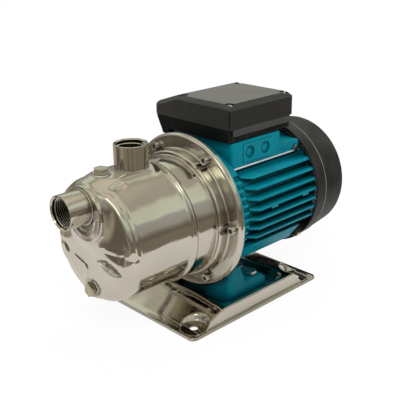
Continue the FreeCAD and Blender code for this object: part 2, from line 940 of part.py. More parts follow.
def bladeOutline(sketch):
    """One backward-curved impeller blade between the eye and the rim."""
    start = d.eyeRadius + d.bladeThick
    end = d.impellerRadius - d.bladeInset
    sweep = math.radians(-58)
    near = math.radians(8.4)
    tip = math.radians(4.7)
    outline(sketch, [
        (start, 0, -d.bladeCurve),
        (end * math.cos(sweep), end * math.sin(sweep)),
        (end * math.cos(sweep + tip), end * math.sin(sweep + tip), d.bladeCurve),
        (start * math.cos(near), start * math.sin(near)),
    ])


def impeller():
    """Closed impeller: hub and back shroud, front shroud with an eye, and curved blades."""
    thick = d.shroudThick
    shroudFront = shroudBack - d.impellerWide
    cup = d.faceRadius + 1
    body = turned("impeller", [
        (hubFront, d.impellerSeat + d.fitGap),
        (hubFront, d.hubRadius),
        (hubBack - thick, d.hubRadius),
        (hubBack - thick, cup + thick),
        (shroudBack - thick, cup + thick),
        (shroudBack - thick, d.impellerRadius),
        (shroudBack, d.impellerRadius),
        (shroudBack, cup),
        (hubBack, cup),
        (hubBack, d.impellerSeat + d.fitGap),
    ])
    sketch = newSketch(body, "XZ_Plane")
    neckEnd = shroudFront - d.eyeNeck
    outline(sketch, [
        (neckEnd, d.eyeRadius),
        (neckEnd, d.eyeRadius + d.eyeWall),
        (shroudFront, d.eyeRadius + d.eyeWall),
        (shroudFront, d.impellerRadius),
        (shroudFront + thick, d.impellerRadius),
        (shroudFront + thick, d.eyeRadius),
    ])
    turn(body, sketch)
    sketch = newSketch(body, "YZ_Plane", shroudFront + thick / 2)
    bladeOutline(sketch)
    blade = pad(body, sketch, d.impellerWide - thick)
    polar(body, [blade], d.bladeCount)
    nut = newBody("impeller_nut")
    sketch = newSketch(nut, "YZ_Plane", hubFront - d.nutHigh)
    hexagon(sketch, 0, 0, d.nutAcross)
    circle(sketch, 0, 0, d.shaftTip + d.fitGap)
    pad(nut, sketch, d.nutHigh)


def diffuser():
    """Guide-vane ring round the impeller, seated on the seal plate."""
    wallBack = diffuserFront + d.diffuserWall
    body = tube("diffuser", diffuserFront, wallBack,
                d.eyeRadius + d.eyeWall + d.fitGap, diffuserRadius)
    sketch = newSketch(body, "YZ_Plane", webFront - d.diffuserWall)
    circle(sketch, 0, 0, diffuserRadius)
    circle(sketch, 0, 0, diffuserInner + d.diffuserWall)
    pad(body, sketch, d.diffuserWall)
    lean = diffuserRadius - diffuserInner
    sketch = newSketch(body, "YZ_Plane", wallBack)
    tip = diffuserRadius - 1
    outline(sketch, [
        (diffuserInner, 0),
        (tip, -lean),
        (tip, -lean + d.vaneThick),
        (diffuserInner, d.vaneThick),
    ])
    vane = pad(body, sketch, webFront - wallBack)
    polar(body, [vane], d.vaneCount)


def venturi():
    """Throat tube that leads from the suction chamber to the impeller's eye."""
    wall = d.chamberWall
    mouth = d.chamberBack - wall
    throatStart = mouth + d.throatEntry
    throatEnd = throatStart + d.throatLong
    collar = d.chamberBack + wall
    spigot = d.venturiMouth + d.venturiWall
    turned("venturi_tube", [
        (mouth, d.venturiMouth),
        (throatStart, d.venturiThroat),
        (throatEnd, d.venturiThroat),
        (diffuserFront, d.eyeRadius),
        (diffuserFront, d.eyeRadius + 2 * wall),
        (diffuserFront - wall, d.eyeRadius + 2 * wall),
        (diffuserFront - wall, d.eyeRadius + wall),
        (throatEnd, d.venturiThroat + wall),
        (collar, d.venturiThroat + 2 * wall),
        (collar, spigot + wall),
        (d.chamberBack, spigot + wall),
        (d.chamberBack, spigot),
        (mouth, spigot),
    ])


def longRound(sketch, radius):
    """A slot outline that joins the shaft line and the suction line."""
    top = suctionZ
    outline(sketch, [
        (radius, 0),
        (radius, top, radius),
        (0, top + radius, radius),
        (-radius, top),
        (-radius, 0, radius),
        (0, -radius, radius),
    ])


def suctionChamber():
    """Hollow chamber between the suction socket, the nozzle and the venturi tube."""
    wall = d.chamberWall
    body = newBody("suction_chamber")
    deep = d.chamberBack - d.chamberFront
    sketch = newSketch(body, "YZ_Plane", d.chamberFront)
    longRound(sketch, d.chamberRadius)
    pad(body, sketch, deep)
    sketch = newSketch(body, "YZ_Plane", d.chamberFront + wall)
    longRound(sketch, d.chamberRadius - wall)
    pocket(body, sketch, deep - 2 * wall, reverse=True)
    sketch = newSketch(body, "YZ_Plane", d.chamberFront - 1)
    circle(sketch, 0, suctionZ, d.portWaterway)
    circle(sketch, 0, 0, d.nozzleRadius + d.fitGap)
    pocket(body, sketch, wall + 2, reverse=True)
    sketch = newSketch(body, "YZ_Plane", d.chamberBack + 1)
    circle(sketch, 0, 0, d.venturiMouth + d.venturiWall + d.fitGap)
    pocket(body, sketch, wall + 2)


def nozzle():
    """Jet nozzle that points into the venturi tube."""
    back = d.chamberFront - d.nozzleFlangeThick
    tip = back + d.nozzleReach
    shoulder = d.chamberFront + d.chamberWall
    turned("ejector_nozzle", [
        (back, d.nozzleBore),
        (back, d.nozzleFlange),
        (d.chamberFront, d.nozzleFlange),
        (d.chamberFront, d.nozzleRadius),
        (shoulder, d.nozzleRadius),
        (tip, d.nozzleTip),
        (tip, d.nozzleJet),
        (tip - d.nozzleTip, d.nozzleJet),
        (shoulder, d.nozzleBore),
    ])


def shaft():
    """Stepped shaft from the impeller nut to the fan clip."""
    frontEnd = d.frontBearingX + d.frontWide
    turned("shaft", [
        (d.shaftTipX, 0),
        (d.shaftTipX, d.shaftTip),
        (hubFront, d.shaftTip),
        (hubFront, d.impellerSeat),
        (hubBack, d.impellerSeat),
        (hubBack, d.sealSeat),
        (d.frontBearingX, d.sealSeat),
        (d.frontBearingX, d.frontBore),
        (frontEnd, d.frontBore),
        (frontEnd, d.shaftCollar),
        (d.rearBearingX, d.shaftCollar),
        (d.rearBearingX, d.rearBore),
        (rearRaceEnd, d.rearBore),
        (rearRaceEnd, d.fanSeat),
        (fanEnd, d.fanSeat),
        (fanEnd, d.clipGroove),
        (fanEnd + d.clipThick + d.fitGap, d.clipGroove),
        (fanEnd + d.clipThick + d.fitGap, d.fanSeat),
        (d.shaftEnd, d.fanSeat),
        (d.shaftEnd, 0),
    ])


def rotorCore():
    """Laminated rotor with its two end rings, pressed on the shaft."""
    radius = d.statorInner - d.airGap
    ringOuter = radius - d.ringStep
    ringInner = ringOuter - d.endRing
    bore = d.shaftCollar + d.fitGap
    turned("rotor_core", [
        (d.statorStart, bore),
        (d.statorStart, ringInner),
        (d.statorStart - d.endRing, ringInner),
        (d.statorStart - d.endRing, ringOuter),
        (d.statorStart, ringOuter),
        (d.statorStart, radius),
        (d.statorEnd, radius),
        (d.statorEnd, ringOuter),
        (d.statorEnd + d.endRing, ringOuter),
        (d.statorEnd + d.endRing, ringInner),
        (d.statorEnd, ringInner),
        (d.statorEnd, bore),
    ])


def stator():
    """Stator stack with closed slots, and the winding that runs through them."""
    slotInner = d.windingInner + d.slotLand
    body = newBody("stator_core")
    sketch = newSketch(body, "YZ_Plane", d.statorStart)
    circle(sketch, 0, 0, d.housingBore - d.fitGap)
    circle(sketch, 0, 0, d.statorInner)
    pad(body, sketch, d.statorEnd - d.statorStart)
    sketch = newSketch(body, "YZ_Plane", d.statorStart)
    box(sketch, (slotInner, -d.slotWide / 2), (slotInner + d.slotDeep, d.slotWide / 2))
    slot = pocket(body, sketch, d.statorEnd - d.statorStart, reverse=True)
    polar(body, [slot], d.slotCount, adds=False)
    frontHead = d.statorStart - d.looseGap
    rearHead = d.statorEnd + d.looseGap
    body = tube("stator_winding", frontHead - d.windingHead, frontHead,
                d.windingInner, d.windingOuter)
    sketch = newSketch(body, "YZ_Plane", rearHead)
    circle(sketch, 0, 0, d.windingOuter)
    circle(sketch, 0, 0, d.windingInner)
    pad(body, sketch, d.windingHead)
    sketch = newSketch(body, "YZ_Plane", frontHead - 1)
    gap = d.looseGap
    box(sketch, (slotInner + gap, gap - d.slotWide / 2),
        (slotInner + d.slotDeep - gap, d.slotWide / 2 - gap))
    bar = pad(body, sketch, rearHead - frontHead + 2)
    polar(body, [bar], d.slotCount)


def bearing(name, start, bore, outer, wide, ball):
    """Deep-groove ball bearing: inner ring, outer ring and balls."""
    mean = (bore + outer) / 2
    middle = start + wide / 2
    track = ball + d.ballGap
    rings = (("inner_ring", bore + d.fitGap, bore + d.raceWall),
             ("outer_ring", outer - d.raceWall, outer))
    for kind, inside, outside in rings:
        body = tube(f"{name}_{kind}", start, start + wide, inside, outside)
        sketch = newSketch(body, "XZ_Plane")
        circle(sketch, middle, mean, track)
        groove(body, sketch)
    body = newBody(f"{name}_balls")
    sketch = newSketch(body, "XZ_Plane")
    outline(sketch, [
        (middle - ball, mean),
        (middle + ball, mean, ball),
        (middle, mean + ball, ball),
    ])
    made = turn(body, sketch, "Edge1")
    polar(body, [made], d.ballCount)


def rodHoles(body, start, length, radius, adds=False):
    """Four holes or rods on the tie-rod circle, turned clear of the fan cover's screws."""
    sketch = newSketch(body, "YZ_Plane", start)
    circle(sketch, d.rodCircle * rodAcross, d.rodCircle * rodUp, radius)
    if adds:
        made = pad(body, sketch, length)
    else:
        made = pocket(body, sketch, length, reverse=True)
    return polar(body, [made], 4, adds)


def skirtOutline(sketch):
    """The plain rails below the fins, seen along the shaft."""
    outline(sketch, [
        (-d.skirtTopHalf, d.skirtTop),
        (-d.skirtLowHalf, d.skirtLow),
        (d.skirtLowHalf, d.skirtLow),
        (d.skirtTopHalf, d.skirtTop),
    ])


def motorBracket():
    """Cast bracket between the pump and the motor, with stub ribs and the front bearing seat."""
    body = newBody("motor_bracket")
    spigotEnd = d.bracketEnd + d.spigotDeep
    spigotRadius = d.housingBore - d.fitGap
    sketch = newSketch(body, "XZ_Plane")
    outline(sketch, [
        (bracketFront, 0),
        (bracketFront, bracketPlateRadius),
        (bracketPlateRear, bracketPlateRadius),
        (bracketPlateRear, d.bracketDrum),
        (d.bracketEnd, d.bracketDrum),
        (d.bracketEnd, spigotRadius),
        (spigotEnd, spigotRadius),
        (spigotEnd, 0),
    ])
    turn(body, sketch)
    drumLong = d.bracketEnd - bracketPlateRear
    sketch = newSketch(body, "YZ_Plane", bracketPlateRear)
    box(sketch, (-d.bracketRib, d.ribLowest), (d.bracketRib, d.ribLowest + d.ribThick))
    rib = pad(body, sketch, drumLong)
    row(body, [rib], d.ribCount, d.ribPitch * (d.ribCount - 1), adds=True)
    capLow = d.ribLowest + d.ribPitch * (d.ribCount - 1)
    sketch = newSketch(body, "YZ_Plane", bracketPlateRear)
    box(sketch, (-d.bracketRib, capLow), (d.bracketRib, d.bracketRib))
    pad(body, sketch, drumLong)
    sketch = newSketch(body, "XZ_Plane")
    box(sketch, (bracketPlateRear, d.bracketRib), (d.bracketEnd + 1, 2 * d.bracketRib))
    groove(body, sketch)
    sketch = newSketch(body, "YZ_Plane", bracketPlateRear)
    skirtOutline(sketch)
    pad(body, sketch, drumLong)
    bracketHollow(body, spigotEnd)


def bracketHollow(body, spigotEnd):
    """Seal chamber in front, bearing seat in the middle and winding space behind."""
    webFace = bracketFront + d.bracketRecess
    webBack = webFace + d.bracketWeb
    inner = d.housingBore - d.spigotDeep
    seatEnd = d.frontBearingX + d.frontWide
    sketch = newSketch(body, "XZ_Plane")
    outline(sketch, [
        (bracketFront - 1, 0),
        (bracketFront - 1, skirtRadius - d.bracketRecess),
        (webFace, skirtRadius - d.bracketRecess),
        (webFace, d.frontOuter - d.bracketRecess),
        (d.frontBearingX, d.frontOuter - d.bracketRecess),
        (d.frontBearingX, d.frontOuter + d.fitGap),
        (seatEnd, d.frontOuter + d.fitGap),
        (seatEnd, d.bearingHub),
        (webBack, d.bearingHub),
        (webBack, inner),
        (spigotEnd + 1, inner),
        (spigotEnd + 1, 0),
    ])
    groove(body, sketch)
    sketch = newSketch(body, "YZ_Plane", bracketFront - 1)
    circle(sketch, -screwCircle, 0, d.screwShank + d.fitGap)
    hole = pocket(body, sketch, d.bracketPlate + 2, reverse=True)
    polar(body, [hole], d.screwCount, adds=False)
    rodHoles(body, d.rodStart - 1, d.bracketEnd - d.rodStart + 2, d.rodRadius + d.fitGap)


def motorHousing():
    """Extruded barrel with horizontal fins, plain rails below and the terminal deck on top."""
    body = newBody("motor_housing")
    long = d.housingEnd - d.bracketEnd
    sketch = newSketch(body, "YZ_Plane", d.bracketEnd)
    circle(sketch, 0, 0, d.barrelRadius)
    pad(body, sketch, long)
    sketch = newSketch(body, "YZ_Plane", d.finStart)
    low = d.finLowest - d.finThick / 2
    box(sketch, (-d.finTip, low), (d.finTip, low + d.finThick))
    fin = pad(body, sketch, d.housingEnd - d.finStart)
    row(body, [fin], d.finCount, d.finPitch * (d.finCount - 1), adds=True)
    sketch = newSketch(body, "XZ_Plane")
    outline(sketch, [
        (d.finStart, d.barrelRadius + d.finThick),
        (d.finStart + d.finSlant, d.finTip),
        (d.housingEnd + 1, d.finTip),
        (d.housingEnd + 1, 2 * d.finTip),
        (d.finStart - 1, 2 * d.finTip),
        (d.finStart - 1, d.barrelRadius + d.finThick),
    ])
    groove(body, sketch)
    finPads(body)
    sketch = newSketch(body, "YZ_Plane", d.bracketEnd)
    skirtOutline(sketch)
    pad(body, sketch, d.skirtEnd - d.bracketEnd)
    terminalDeck(body)
    housingHoles(body, long)


def finPads(body):
    """Thickened places on the middle fin, where the casting is pushed out of its mould."""
    middle = d.finLowest + d.finPitch * (d.finCount - 1) / 2
    made = []
    for start in (d.finPadFront, d.finPadRear):
        sketch = newSketch(body, "YZ_Plane", start)
        box(sketch, (d.barrelRadius - d.finThick, middle - d.finPadLow), (d.finTip - 1, middle))
        made.append(pad(body, sketch, d.finPadLong))
    mirror(body, made, "XZ_Plane")


def terminalDeck(body):
    """Flat-topped block under the terminal box, lower at its rear end."""
    root = d.deckHalf - (d.deckTop - d.barrelRadius)
    under = diagonal * d.barrelRadius
    for start, end, top in ((d.deckFront, d.deckStep, d.deckTop),
                            (d.deckStep, d.deckRear, d.deckRearTop)):
        sketch = newSketch(body, "YZ_Plane", start)
        outline(sketch, [
            (root, under),
            (d.deckHalf, d.deckLow),
            (d.deckHalf, top),
            (-d.deckHalf, top),
            (-d.deckHalf, d.deckLow),
            (-root, under),
        ])
        pad(body, sketch, end - start)
    middle = (d.deckTop + d.deckLow) / 2
    soften(body, d.deckCorner, [(d.deckFront, d.deckHalf, middle), (d.deckFront, -d.deckHalf, middle)])
    soften(body, d.deckCorner / 2, [(d.deckFront + 2 * d.deckCorner, -d.deckHalf, d.deckTop)])
    second = d.knockoutNear + d.knockoutPitch
    edge = d.knockoutFrame
    sketch = newSketch(body, "XZ_Plane", d.deckHalf)
    box(sketch, (d.knockoutNear - edge, d.knockoutZ - edge), (second + edge, d.knockoutZ + edge))
    pad(body, sketch, d.knockoutRise)
    sketch = newSketch(body, "XZ_Plane", d.deckHalf + d.knockoutRise)
    for x in (d.knockoutNear, second):
        circle(sketch, x, d.knockoutZ, d.knockoutRadius)
    pocket(body, sketch, d.knockoutDeep + d.knockoutRise)


def housingHoles(body, long):
    """Main bore, cable way, tie-rod holes and the tapped holes for small screws."""
    sketch = newSketch(body, "YZ_Plane", d.bracketEnd - 1)
    circle(sketch, 0, 0, d.housingBore)
    pocket(body, sketch, long + 2, reverse=True)
    sketch = newSketch(body, "XY_Plane", d.deckTop + 1)
    circle(sketch, d.cableX, 0, d.cableHole)
    pocket(body, sketch, d.deckTop - d.housingBore / 2)
    rodHoles(body, d.bracketEnd - 1, long + 2, d.rodRadius + d.fitGap)
    sketch = newSketch(body, "XZ_Plane", d.deckHalf + 1)
    circle(sketch, d.earthX, d.earthZ, d.smallShank + d.fitGap)
    pocket(body, sketch, d.smallReach + 1)
    made = []
    for turnSide in (-45, 45):
        sketch = newSketch(body, "XY_Plane")
        sketch.AttachmentOffset = FreeCAD.Placement(
            Vector(), FreeCAD.Rotation(Vector(1, 0, 0), turnSide)
        )
        circle(sketch, tabScrewX, 0, d.smallShank + d.fitGap)
        made.append(pocket(body, sketch, 2 * d.barrelRadius))


def rearShield():
    """Rear end shield with the rear bearing seat, and the spring washer in it."""
    seatEnd = rearRaceEnd + d.waveThick
    spigot = d.housingEnd - d.shieldSpigot
    hubStart = d.rearBearingX - 1
    seat = d.rearOuter + d.fitGap
    body = turned("rear_shield", [
        (hubStart, seat),
        (hubStart, d.shieldHub),
        (d.housingEnd, d.shieldHub),
        (d.housingEnd, d.housingBore - d.shieldSpigot),
        (spigot, d.housingBore - d.shieldSpigot),
        (spigot, d.housingBore - d.fitGap),
        (d.housingEnd, d.housingBore - d.fitGap),
        (d.housingEnd, d.shieldRadius),
        (shieldRear, d.shieldRadius),
        (shieldRear, d.shieldHub),
        (seatEnd + d.shieldLip, d.shieldHub),
        (seatEnd + d.shieldLip, d.fanSeat + 2 * d.shaftGap),
        (seatEnd, d.fanSeat + 2 * d.shaftGap),
        (seatEnd, seat),
    ])
    rodHoles(body, spigot - 1, shieldRear - spigot + 2, d.rodRadius + d.fitGap)
    tube("wave_washer", rearRaceEnd, seatEnd, d.rearOuter - d.raceWall + d.looseGap,
         d.rearOuter - d.looseGap)


def tieRods():
    """Long screws that pull the bracket, housing and rear shield together."""
    body = newBody("tie_rods")
    rodHoles(body, d.rodStart, shieldRear - d.rodStart, d.rodRadius, adds=True)
    sketch = newSketch(body, "YZ_Plane", shieldRear)
    hexagon(sketch, d.rodCircle * rodAcross, d.rodCircle * rodUp, d.rodHexAcross)
    head = pad(body, sketch, d.rodHexHigh)
    polar(body, [head], 4)


def fan():
    """Cooling fan with straight radial blades, and the clip that holds it."""
    body = tube("fan", d.fanX, fanEnd, d.fanSeat + d.fitGap, d.fanHub)
    sketch = newSketch(body, "YZ_Plane", d.fanX)
    circle(sketch, 0, 0, d.fanRadius)
    circle(sketch, 0, 0, d.fanHub - 1)
    pad(body, sketch, d.fanDisc)
    sketch = newSketch(body, "YZ_Plane", d.fanX + d.fanDisc / 2)
    half = d.fanBladeThick / 2
    box(sketch, (d.fanHub - 1, -half), (d.fanRadius - 1, half))
    blade = pad(body, sketch, d.fanDeep - d.fanDisc)
    polar(body, [blade], d.fanBlades)
    body = tube("fan_clip", fanEnd, fanEnd + d.clipThick, d.clipGroove + d.fitGap, d.clipRadius)
    sketch = newSketch(body, "YZ_Plane", fanEnd - 1)
    box(sketch, (-d.clipGroove / 2, -2 * d.clipRadius), (d.clipGroove / 2, -d.clipGroove / 2))
    pocket(body, sketch, d.clipThick + 2, reverse=True)


def fanCover():
    """Moulded fan cover with a crease, a rounded rear edge, a slotted rear face and two tabs."""
    wall = d.coverWall
    roundX = d.coverRear - d.coverRound
    body = turned("fan_cover", [
        (d.coverFront, d.coverFrontRadius - wall),
        (d.coverFront, d.coverFrontRadius),
        (d.coverCrease, d.coverCreaseRadius),
        (roundX, d.coverRearRadius, -d.coverRound),
        (d.coverRear, d.coverRearRadius - d.coverRound),
        (d.coverRear, 0),
        (d.coverRear - wall, 0),
        (d.coverRear - wall, d.coverRearRadius - d.coverRound, d.coverRound - wall),
        (roundX, d.coverRearRadius - wall),
        (d.coverCrease, d.coverCreaseRadius - wall),
    ])
    sketch = newSketch(body, "YZ_Plane", d.coverRear + 1)
    half = d.grilleWide / 2
    box(sketch, (d.grilleInner, -half), (d.coverRearRadius - d.coverRound - half, half))
    slot = pocket(body, sketch, wall + 2)
    polar(body, [slot], d.grilleCount, adds=False)
    sketch = newSketch(body, "YZ_Plane", d.coverFront - d.tabReach)
    inner = d.barrelRadius + d.fitGap
    outer = d.coverFrontRadius - wall / 2
    half = d.tabWide / 2
    corners = ((inner, -half), (outer, -half), (outer, half), (inner, half))
    outline(sketch, [(-(out - side) * diagonal, -(out + side) * diagonal) for out, side in corners])
    tab = pad(body, sketch, d.tabReach + wall)
    sketch = newSketch(body, "XY_Plane")
    sketch.AttachmentOffset = FreeCAD.Placement(
        Vector(), FreeCAD.Rotation(Vector(1, 0, 0), -45)
    )
    circle(sketch, tabScrewX, 0, d.smallShank + d.fitGap)
    hole = pocket(body, sketch, 2 * d.barrelRadius)
    mirror(body, [tab, hole], "XZ_Plane")


def fanCoverScrews():
    """Two screws that hold the cover's tabs to the housing."""
    body = newBody("fan_cover_screws")
    body.Placement.Rotation = FreeCAD.Rotation(Vector(1, 0, 0), -45)
    seat = -(d.coverFrontRadius - d.coverWall / 2)
    sketch = newSketch(body, "XY_Plane", seat)
    circle(sketch, tabScrewX, 0, d.smallHead)
    head = pad(body, sketch, d.smallHeadHigh, reverse=True)
    sketch = newSketch(body, "XY_Plane", seat)
    circle(sketch, tabScrewX, 0, d.smallShank)
    shank = pad(body, sketch, -seat - d.barrelRadius + d.smallReach)
    polar(body, [head, shank], 2, angle=90)


def lidPlaces():
    """The four screw places of the terminal box, seen from above."""
    xs = (d.lidFront + d.lidScrewInset, d.lidRear - d.lidScrewInset)
    return [(x, y) for x in xs for y in (d.lidScrewNear, d.lidScrewFar)]


def terminalTray():
    """Lower half of the terminal box, which overhangs the deck on the far side."""
    wall = d.trayWall
    overhang = d.deckHalf + 1
    lowFar = d.trayFar - d.traySlope
    body = newBody("terminal_tray")
    sketch = newSketch(body, "YZ_Plane", d.trayFront)
    outline(sketch, [
        (d.trayNear, d.trayTop),
        (d.trayNear + wall / 2, d.trayFloor),
        (overhang, d.trayFloor),
        (overhang, d.trayFarLow),
        (lowFar, d.trayFarLow),
        (d.trayFar, d.trayTop - wall),
        (d.trayFar, d.trayTop),
    ])
    pad(body, sketch, d.trayRear - d.trayFront)
    sketch = newSketch(body, "YZ_Plane", d.trayFront + wall)
    outline(sketch, [
        (d.trayNear + wall, d.trayTop + 1),
        (d.trayNear + wall * 1.5, trayInside),
        (lowFar - wall, trayInside),
        (d.trayFar - wall, d.trayTop - wall),
        (d.trayFar - wall, d.trayTop + 1),
    ])
    pocket(body, sketch, d.trayRear - d.trayFront - 2 * wall, reverse=True)
    sketch = newSketch(body, "XY_Plane", trayInside - wall / 2)
    for x, y in lidPlaces():
        circle(sketch, x, y, d.trayColumn)
    pad(body, sketch, d.trayTop - trayInside + wall / 2)
    sketch = newSketch(body, "XY_Plane", d.trayTop)
    for x, y in lidPlaces():
        circle(sketch, x, y, d.lidScrewShank + d.fitGap)
    pocket(body, sketch, d.lidScrewReach + 1)
    sketch = newSketch(body, "XY_Plane", trayInside + 1)
    circle(sketch, d.cableX, 0, d.cableHole)
    pocket(body, sketch, wall + 2)
    gasket = newBody("terminal_gasket")
    sketch = newSketch(gasket, "XY_Plane", d.deckTop)
    edge = d.deckHalf - wall
    box(sketch, (d.deckFront + wall, -edge), (d.deckStep - wall, edge))
    circle(sketch, d.cableX, 0, d.cableHole)
    pad(gasket, sketch, d.trayFloor - d.deckTop)


def terminalLid():
    """Lid of the terminal box, bevelled on top and sloping down on the far side."""
    wall = d.lidWall
    body = newBody("terminal_lid")
    sketch = newSketch(body, "YZ_Plane", d.lidFront)
    outline(sketch, lidSection(0))
    pad(body, sketch, d.lidRear - d.lidFront)
    slope = ((d.lidFlatFar + d.lidFar - wall) / 2, (d.lidTop + d.lidFarTop) / 2)
    ends = [(x, y, z) for x in (d.lidFront, d.lidRear) for y, z in ((0, d.lidTop), slope)]
    soften(body, d.lidBevel, ends, "Chamfer")
    corner = d.lidScrewInset + d.lidColumn
    sketch = newSketch(body, "YZ_Plane", d.lidFront + corner)
    outline(sketch, lidSection(wall))
    pocket(body, sketch, d.lidRear - d.lidFront - 2 * corner, reverse=True)
    for start in (d.lidFront + wall, d.lidRear - corner - 1):
        sketch = newSketch(body, "YZ_Plane", start)
        lidEndHollow(sketch)
        pocket(body, sketch, corner - wall + 1, reverse=True)
    sketch = newSketch(body, "XY_Plane", d.lidTop + 1)
    for x, y in lidPlaces():
        circle(sketch, x, y, d.lidPocket)
    pocket(body, sketch, d.lidPocketDeep + 1)
    sketch = newSketch(body, "XY_Plane", d.lidTop)
    for x, y in lidPlaces():
        circle(sketch, x, y, d.lidScrewShank + d.fitGap)
    pocket(body, sketch, d.lidTop - d.trayTop + 1)


def lidEndHollow(sketch):
    """The hollow at either end of the lid, which leaves the screw columns standing."""
    low = d.trayTop - 1
    top = d.lidTop - d.lidBevel - d.lidWall / 2
    side = d.lidFar - d.lidWall
    box(sketch, (d.lidScrewNear + d.lidColumn, low), (d.lidScrewFar - d.lidColumn, top))
    outline(sketch, [
        (d.lidScrewFar + d.lidColumn, low),
        (side, low),
        (side, d.lidFarTop - 2 * d.lidBevel),
        (side - d.lidWall, d.lidFarTop - d.lidBevel - d.lidWall),
        (d.lidScrewFar + d.lidColumn, top),
    ])


def lidSection(inset):
    """The lid's outline seen along the shaft, drawn in by a wall thickness."""
    low = d.trayTop if inset == 0 else d.trayTop - 1
    return [
        (d.lidNear + inset, low),
        (d.lidNear + inset, d.lidSide - inset / 2),
        (d.lidNear + d.lidBevel + inset / 2, d.lidTop - inset),
        (d.lidFlatFar, d.lidTop - inset),
        (d.lidFar - d.lidWall - inset, d.lidFarTop - inset / 2),
        (d.lidFar - inset, d.lidFarTop - d.lidWall - inset / 2),
        (d.lidFar - inset, low),
    ]


def lidScrews():
    body = newBody("lid_screws")
    seat = d.lidTop - d.lidPocketDeep
    sketch = newSketch(body, "XY_Plane", seat)
    for x, y in lidPlaces():
        circle(sketch, x, y, d.lidScrewHead)
    pad(body, sketch, d.lidScrewHeadHigh)
    sketch = newSketch(body, "XY_Plane", seat)
    for x, y in lidPlaces():
        circle(sketch, x, y, d.lidScrewShank)
    pad(body, sketch, seat - d.trayTop + d.lidScrewReach, reverse=True)


def terminalParts():
    """Terminal block with its studs, the run capacitor and the earth screw."""
    body = newBody("terminal_block")
    low = (d.blockX, d.blockY)
    sketch = newSketch(body, "XY_Plane", trayInside)
    box(sketch, low, (d.blockX + d.blockLong, d.blockY + d.blockWide))
    pad(body, sketch, d.blockHigh)
    top = trayInside + d.blockHigh
    sketch = newSketch(body, "XY_Plane", top)
    pitch = d.blockLong / 3
    rib = d.studRadius / 2
    for i in (1, 2):
        x = d.blockX + pitch * i
        box(sketch, (x - rib / 2, d.blockY), (x + rib / 2, d.blockY + d.blockWide))
    pad(body, sketch, d.blockHigh / 2)
    studs = newBody("terminal_studs")
    sketch = newSketch(studs, "XY_Plane", top)
    for i in range(3):
        for j in (1, 3):
            x = d.blockX + pitch * (i + 0.5)
            circle(sketch, x, d.blockY + d.blockWide * j / 4, d.studRadius)
    pad(studs, sketch, d.studHigh)
    body = newBody("capacitor")
    centre = trayInside + d.looseGap + d.capRadius
    sketch = newSketch(body, "YZ_Plane", d.capX)
    circle(sketch, d.capY, centre, d.capRadius)
    pad(body, sketch, d.capLong)
    sketch = newSketch(body, "YZ_Plane", d.capX + d.capLong)
    for side in (-1, 1):
        y = d.capY + d.capRadius / 2 * side
        box(sketch, (y - rib, centre - d.capRadius / 5), (y + rib, centre + d.capRadius / 5))
    pad(body, sketch, 2 * d.studRadius)
    body = newBody("earth_screw")
    sketch = newSketch(body, "XZ_Plane", d.deckHalf)
    circle(sketch, d.earthX, d.earthZ, d.smallHead)
    pad(body, sketch, d.smallHeadHigh)
    sketch = newSketch(body, "XZ_Plane", d.deckHalf)
    circle(sketch, d.earthX, d.earthZ, d.smallShank)
    pad(body, sketch, d.smallReach, reverse=True)


def footPlaces():
    return [(d.footScrewX, side * y) for side in (-1, 1) for y in (d.footScrewNear, d.footScrewFar)]


def motorFoot():
    """Cast foot with two gusseted legs, between the base plate and the bracket."""
    body = newBody("motor_foot", z=0)
    top = d.shaftHeight + d.skirtLow
    floor = d.wellFloor
    sketch = newSketch(body, "XZ_Plane", d.footInner)
    outline(sketch, [
        (d.footFront, floor),
        (d.footBack, floor),
        (d.footBack, d.footPadTop - d.footBevel),
        (d.footBack - d.footBevel, d.footPadTop),
        (d.footDip, d.footPadTop),
        (d.footTopBack, top),
        (d.footFront, top),
    ])
    leg = pad(body, sketch, d.footOuter - d.footInner)
    mirror(body, [leg], "XZ_Plane")
    sketch = newSketch(body, "XY_Plane", floor)
    web = d.footFront + d.footWeb
    box(sketch, (web, -d.footInner - 1), (web + d.footWeb, d.footInner + 1))
    pad(body, sketch, d.footPadTop - floor)
    middle = (floor + top) / 2
    soften(body, d.footCorner, [(d.footFront, d.footOuter, middle), (d.footFront, -d.footOuter, middle)])
    sketch = newSketch(body, "YZ_Plane", d.footFront - 1)
    circle(sketch, 0, d.shaftHeight, d.bracketDrum + d.fitGap)
    pocket(body, sketch, d.footBack - d.footFront, reverse=True)
    sketch = newSketch(body, "XY_Plane", d.footPadTop + 1)
    for x, y in footPlaces():
        circle(sketch, x, y, d.footShank + d.looseGap)
    pocket(body, sketch, d.footPadTop)


def footScrews():
    """Hexagon screws that hold the foot to the base plate, with nuts below its floor."""
    body = newBody("foot_screws", z=0)
    under = d.wellFloor - d.baseSheet
    sketch = newSketch(body, "XY_Plane", under - d.footNutHigh)
    for x, y in footPlaces():
        circle(sketch, x, y, d.footShank)
    pad(body, sketch, d.footPadTop - under + d.footNutHigh)
    for start, high in ((d.footPadTop, d.footHeadHigh), (under - d.footNutHigh, d.footNutHigh)):
        sketch = newSketch(body, "XY_Plane", start)
        for x, y in footPlaces():
            hexagon(sketch, x, y, d.footHexAcross)
        pad(body, sketch, high)


def plateOutline(sketch, front, rear, half, corner):
    """A rectangle with cut corners that keep clear of the bolt seats."""
    reach = corner - half
    outline(sketch, [
        (-reach, -half),
        (reach, -half),
        (rear, -(corner - rear)),
        (rear, corner - rear),
        (reach, half),
        (-reach, half),
        (front, corner + front),
        (front, -(corner + front)),
    ])


def loft(body, kind, low, high, adds):
    def setup(feature):
        feature.Profile = low
        feature.Sections = [high]
        feature.Ruled = True

    return addFeature(body, kind, "Loft", adds, setup)


